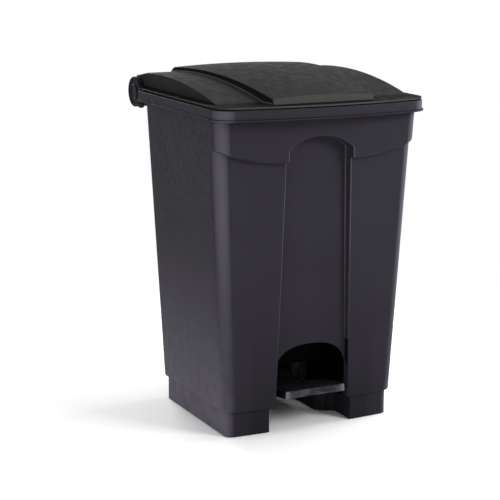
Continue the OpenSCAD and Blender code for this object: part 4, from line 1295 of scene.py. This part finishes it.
def floor_material():
    """Floor that keeps shadows near the object and runs out to white."""
    material = bpy.data.materials.new("floor")
    material.use_nodes = True
    tree = material.node_tree
    tree.nodes.clear()
    kinds = ("OutputMaterial", "BsdfDiffuse", "Emission", "MixShader", "Mix", "TexCoord", "VectorMath", "MapRange",
             "Math")
    out, near, far, blend, shade, where, reach, fade, both = (tree.nodes.new("ShaderNode" + kind) for kind in kinds)
    shade.data_type, shade.clamp_result = "RGBA", False
    shade.inputs[6].default_value = (*sizes("finish").floor, 1)
    shade.inputs[7].default_value = (FLOOR_GAIN, FLOOR_GAIN, FLOOR_GAIN, 1)
    reach.operation, both.operation, fade.interpolation_type = "LENGTH", "MULTIPLY", "SMOOTHSTEP"
    fade.inputs["From Min"].default_value = FLOOR_NEAR
    fade.inputs["From Max"].default_value = FLOOR_FAR
    mask = seen(tree)
    for source, target in ((mask, shade.inputs[0]), (shade.outputs[2], near.inputs["Color"]),
                           (where.outputs["Object"], reach.inputs[0]), (reach.outputs["Value"], fade.inputs["Value"]),
                           (fade.outputs["Result"], both.inputs[0]), (mask, both.inputs[1]),
                           (both.outputs[0], blend.inputs[0]), (near.outputs[0], blend.inputs[1]),
                           (far.outputs[0], blend.inputs[2]), (blend.outputs[0], out.inputs["Surface"])):
        tree.links.new(source, target)
    return material


def studio_world():
    """World that lights the object softly and shows as white."""
    world = bpy.data.worlds.new("studio")
    world.use_nodes = True
    tree = world.node_tree
    strength = tree.nodes.new("ShaderNodeMapRange")
    strength.inputs["To Min"].default_value = WORLD_LIGHT
    strength.inputs["To Max"].default_value = 1.0
    tree.links.new(seen(tree), strength.inputs["Value"])
    background = tree.nodes["Background"]
    background.inputs["Color"].default_value = (1, 1, 1, 1)
    tree.links.new(strength.outputs["Result"], background.inputs["Strength"])
    return world


def softbox(name, place, aim, size, power):
    """Rectangular lamp at a place, turned to a point."""
    data = bpy.data.lights.new(name, "AREA")
    data.shape = "RECTANGLE"
    data.size, data.size_y = size
    data.energy = power
    lamp = bpy.data.objects.new(name, data)
    bpy.context.scene.collection.objects.link(lamp)
    back = (Vector(place) - Vector(aim)).normalized()
    lamp.matrix_world = Matrix.Translation(place) @ back.to_track_quat("Z", "Y").to_matrix().to_4x4()


def studio_camera():
    """Camera at its distance from the target, turned by azimuth, elevation and roll."""
    data = bpy.data.cameras.new("camera")
    data.lens, data.sensor_width, data.clip_end = LENS, SENSOR, CLIP_END
    camera = bpy.data.objects.new("camera", data)
    bpy.context.scene.collection.objects.link(camera)
    az, el, roll = (math.radians(angle) for angle in CAMERA_ANGLES)
    back = Vector((math.sin(az) * math.cos(el), -math.cos(az) * math.cos(el), math.sin(el)))
    right = Vector((0, 0, 1)).cross(back).normalized()
    up = back.cross(right)
    axes = (right * math.cos(roll) + up * math.sin(roll), up * math.cos(roll) - right * math.sin(roll), back)
    place = Vector(CAMERA_TARGET) * MM + back * CAMERA_DISTANCE * MM
    camera.matrix_world = Matrix.Translation(place) @ Matrix(axes).transposed().to_4x4()
    return camera


# ---- Operators ----


class CONTAINER_OT_body(bpy.types.Operator):
    """Build the moulded body with its rim, hinge eyes and inside"""
    bl_idname = "container.body"
    bl_label = "Body"

    def execute(self, context):
        settle(body_solid(), "container", "body_shell", "body")
        return {"FINISHED"}


class CONTAINER_OT_lid(bpy.types.Operator):
    """Build the domed lid with its raised panel, hinge barrel and lug"""
    bl_idname = "container.lid"
    bl_label = "Lid"

    def execute(self, context):
        settle(lid_solid(), "lid", "lid", "lid")
        settle(buffer_set(), "lid", "lid_buffers", "rubber")
        return {"FINISHED"}


class CONTAINER_OT_plugs(bpy.types.Operator):
    """Build the caps on the ends of the hinge rod"""
    bl_idname = "container.plugs"
    bl_label = "Hinge plugs"

    def execute(self, context):
        right = plug_solid()
        for side, plug in (("right", right), ("left", mirrored(right))):
            plug.name = "rod_cap_" + side
            settle(plug, "container", "hinge_plug_" + side, "plug")
        return {"FINISHED"}


class CONTAINER_OT_pedal(bpy.types.Operator):
    """Build the ribbed pedal"""
    bl_idname = "container.pedal"
    bl_label = "Pedal"

    def execute(self, context):
        settle(pedal_solid(), "pedal", "pedal_pad", "pedal")
        return {"FINISHED"}


class CONTAINER_OT_screws(bpy.types.Operator):
    """Set the screws of the brackets, the guides and the pedal"""
    bl_idname = "container.screws"
    bl_label = "Screws"

    def execute(self, context):
        outward = (0, math.cos(ROD_TILT), -math.sin(ROD_TILT))
        downward = tuple(lever_matrix().to_3x3() @ Vector((0, 0, -1)))
        brackets = [(x, y + PIVOT_Y, BOSS_Z) for x in (-BRACKET_X, BRACKET_X) for y in (-BOSS_STEP, BOSS_STEP)]
        guides = [rod_frame(x, -8.6, z + 8) for z in (130, 400) for x in (-16, 16)]
        pedal = [tuple(c / MM for c in lever_matrix() @ Vector((0, y * MM, 6 * MM))) for y in (-116, -84)]
        inward = [(-1 if x > 0 else 1, 0, 0) for x, _, _ in brackets]
        for name, body, places, axis in (("bracket", "container", brackets, inward),
                                         ("guide", "container", guides, outward),
                                         ("pedal", "pedal", pedal, downward)):
            template = screw_template(SCREW_LONG[name])
            made = fastened(name + "_screw_set", places, axis, template, "steel")
            settle(made, body, name + "_screws", "steel")
        return {"FINISHED"}


class CONTAINER_OT_linkage(bpy.types.Operator):
    """Give the lever, rods, guides and other machined pieces their materials"""
    bl_idname = "container.linkage"
    bl_label = "Linkage finishes"

    def execute(self, context):
        for part in frame["record"]["subparts"]:
            node = frame["nodes"][part["node"]]
            node.data.materials.clear()
            node.data.materials.append(material_for(part["material_slot"]))
        return {"FINISHED"}


class CONTAINER_OT_stage(bpy.types.Operator):
    """Set up the floor, lights and camera"""
    bl_idname = "container.stage"
    bl_label = "Stage"

    def execute(self, context):
        scene = context.scene
        scene.view_settings.view_transform = "Standard"
        corners = [(x, y, 0) for x, y in ((-FLOOR, -FLOOR), (FLOOR, -FLOOR), (FLOOR, FLOOR), (-FLOOR, FLOOR))]
        floor = new_object("floor", corners, [(0, 1, 2, 3)])
        floor.data.materials.append(floor_material())
        scene.world = studio_world()
        for name, values in LAMPS.items():
            softbox(name, *values)
        scene.camera = studio_camera()
        return {"FINISHED"}


class CONTAINER_PT_panel(bpy.types.Panel):
    """Build steps of the container"""
    bl_label = "Container"
    bl_space_type = "VIEW_3D"
    bl_region_type = "UI"
    bl_category = "Container"

    def draw(self, context):
        for step in STEPS:
            self.layout.operator(step.bl_idname)


STEPS = [CONTAINER_OT_linkage, CONTAINER_OT_body, CONTAINER_OT_lid, CONTAINER_OT_plugs, CONTAINER_OT_pedal,
         CONTAINER_OT_screws, CONTAINER_OT_stage]
CLASSES = [*GROUPS.values(), *STEPS, CONTAINER_PT_panel]


def register():
    for cls in CLASSES:
        bpy.utils.register_class(cls)
    for name, group in GROUPS.items():
        setattr(bpy.types.Scene, "container_" + name, PointerProperty(type=group))


def unregister():
    for name in GROUPS:
        delattr(bpy.types.Scene, "container_" + name)
    for cls in reversed(CLASSES):
        bpy.utils.unregister_class(cls)


def main():
    register()
    for step in STEPS:
        group, name = step.bl_idname.split(".")
        getattr(getattr(bpy.ops, group), name)()


if __name__ == "__main__":
    main()
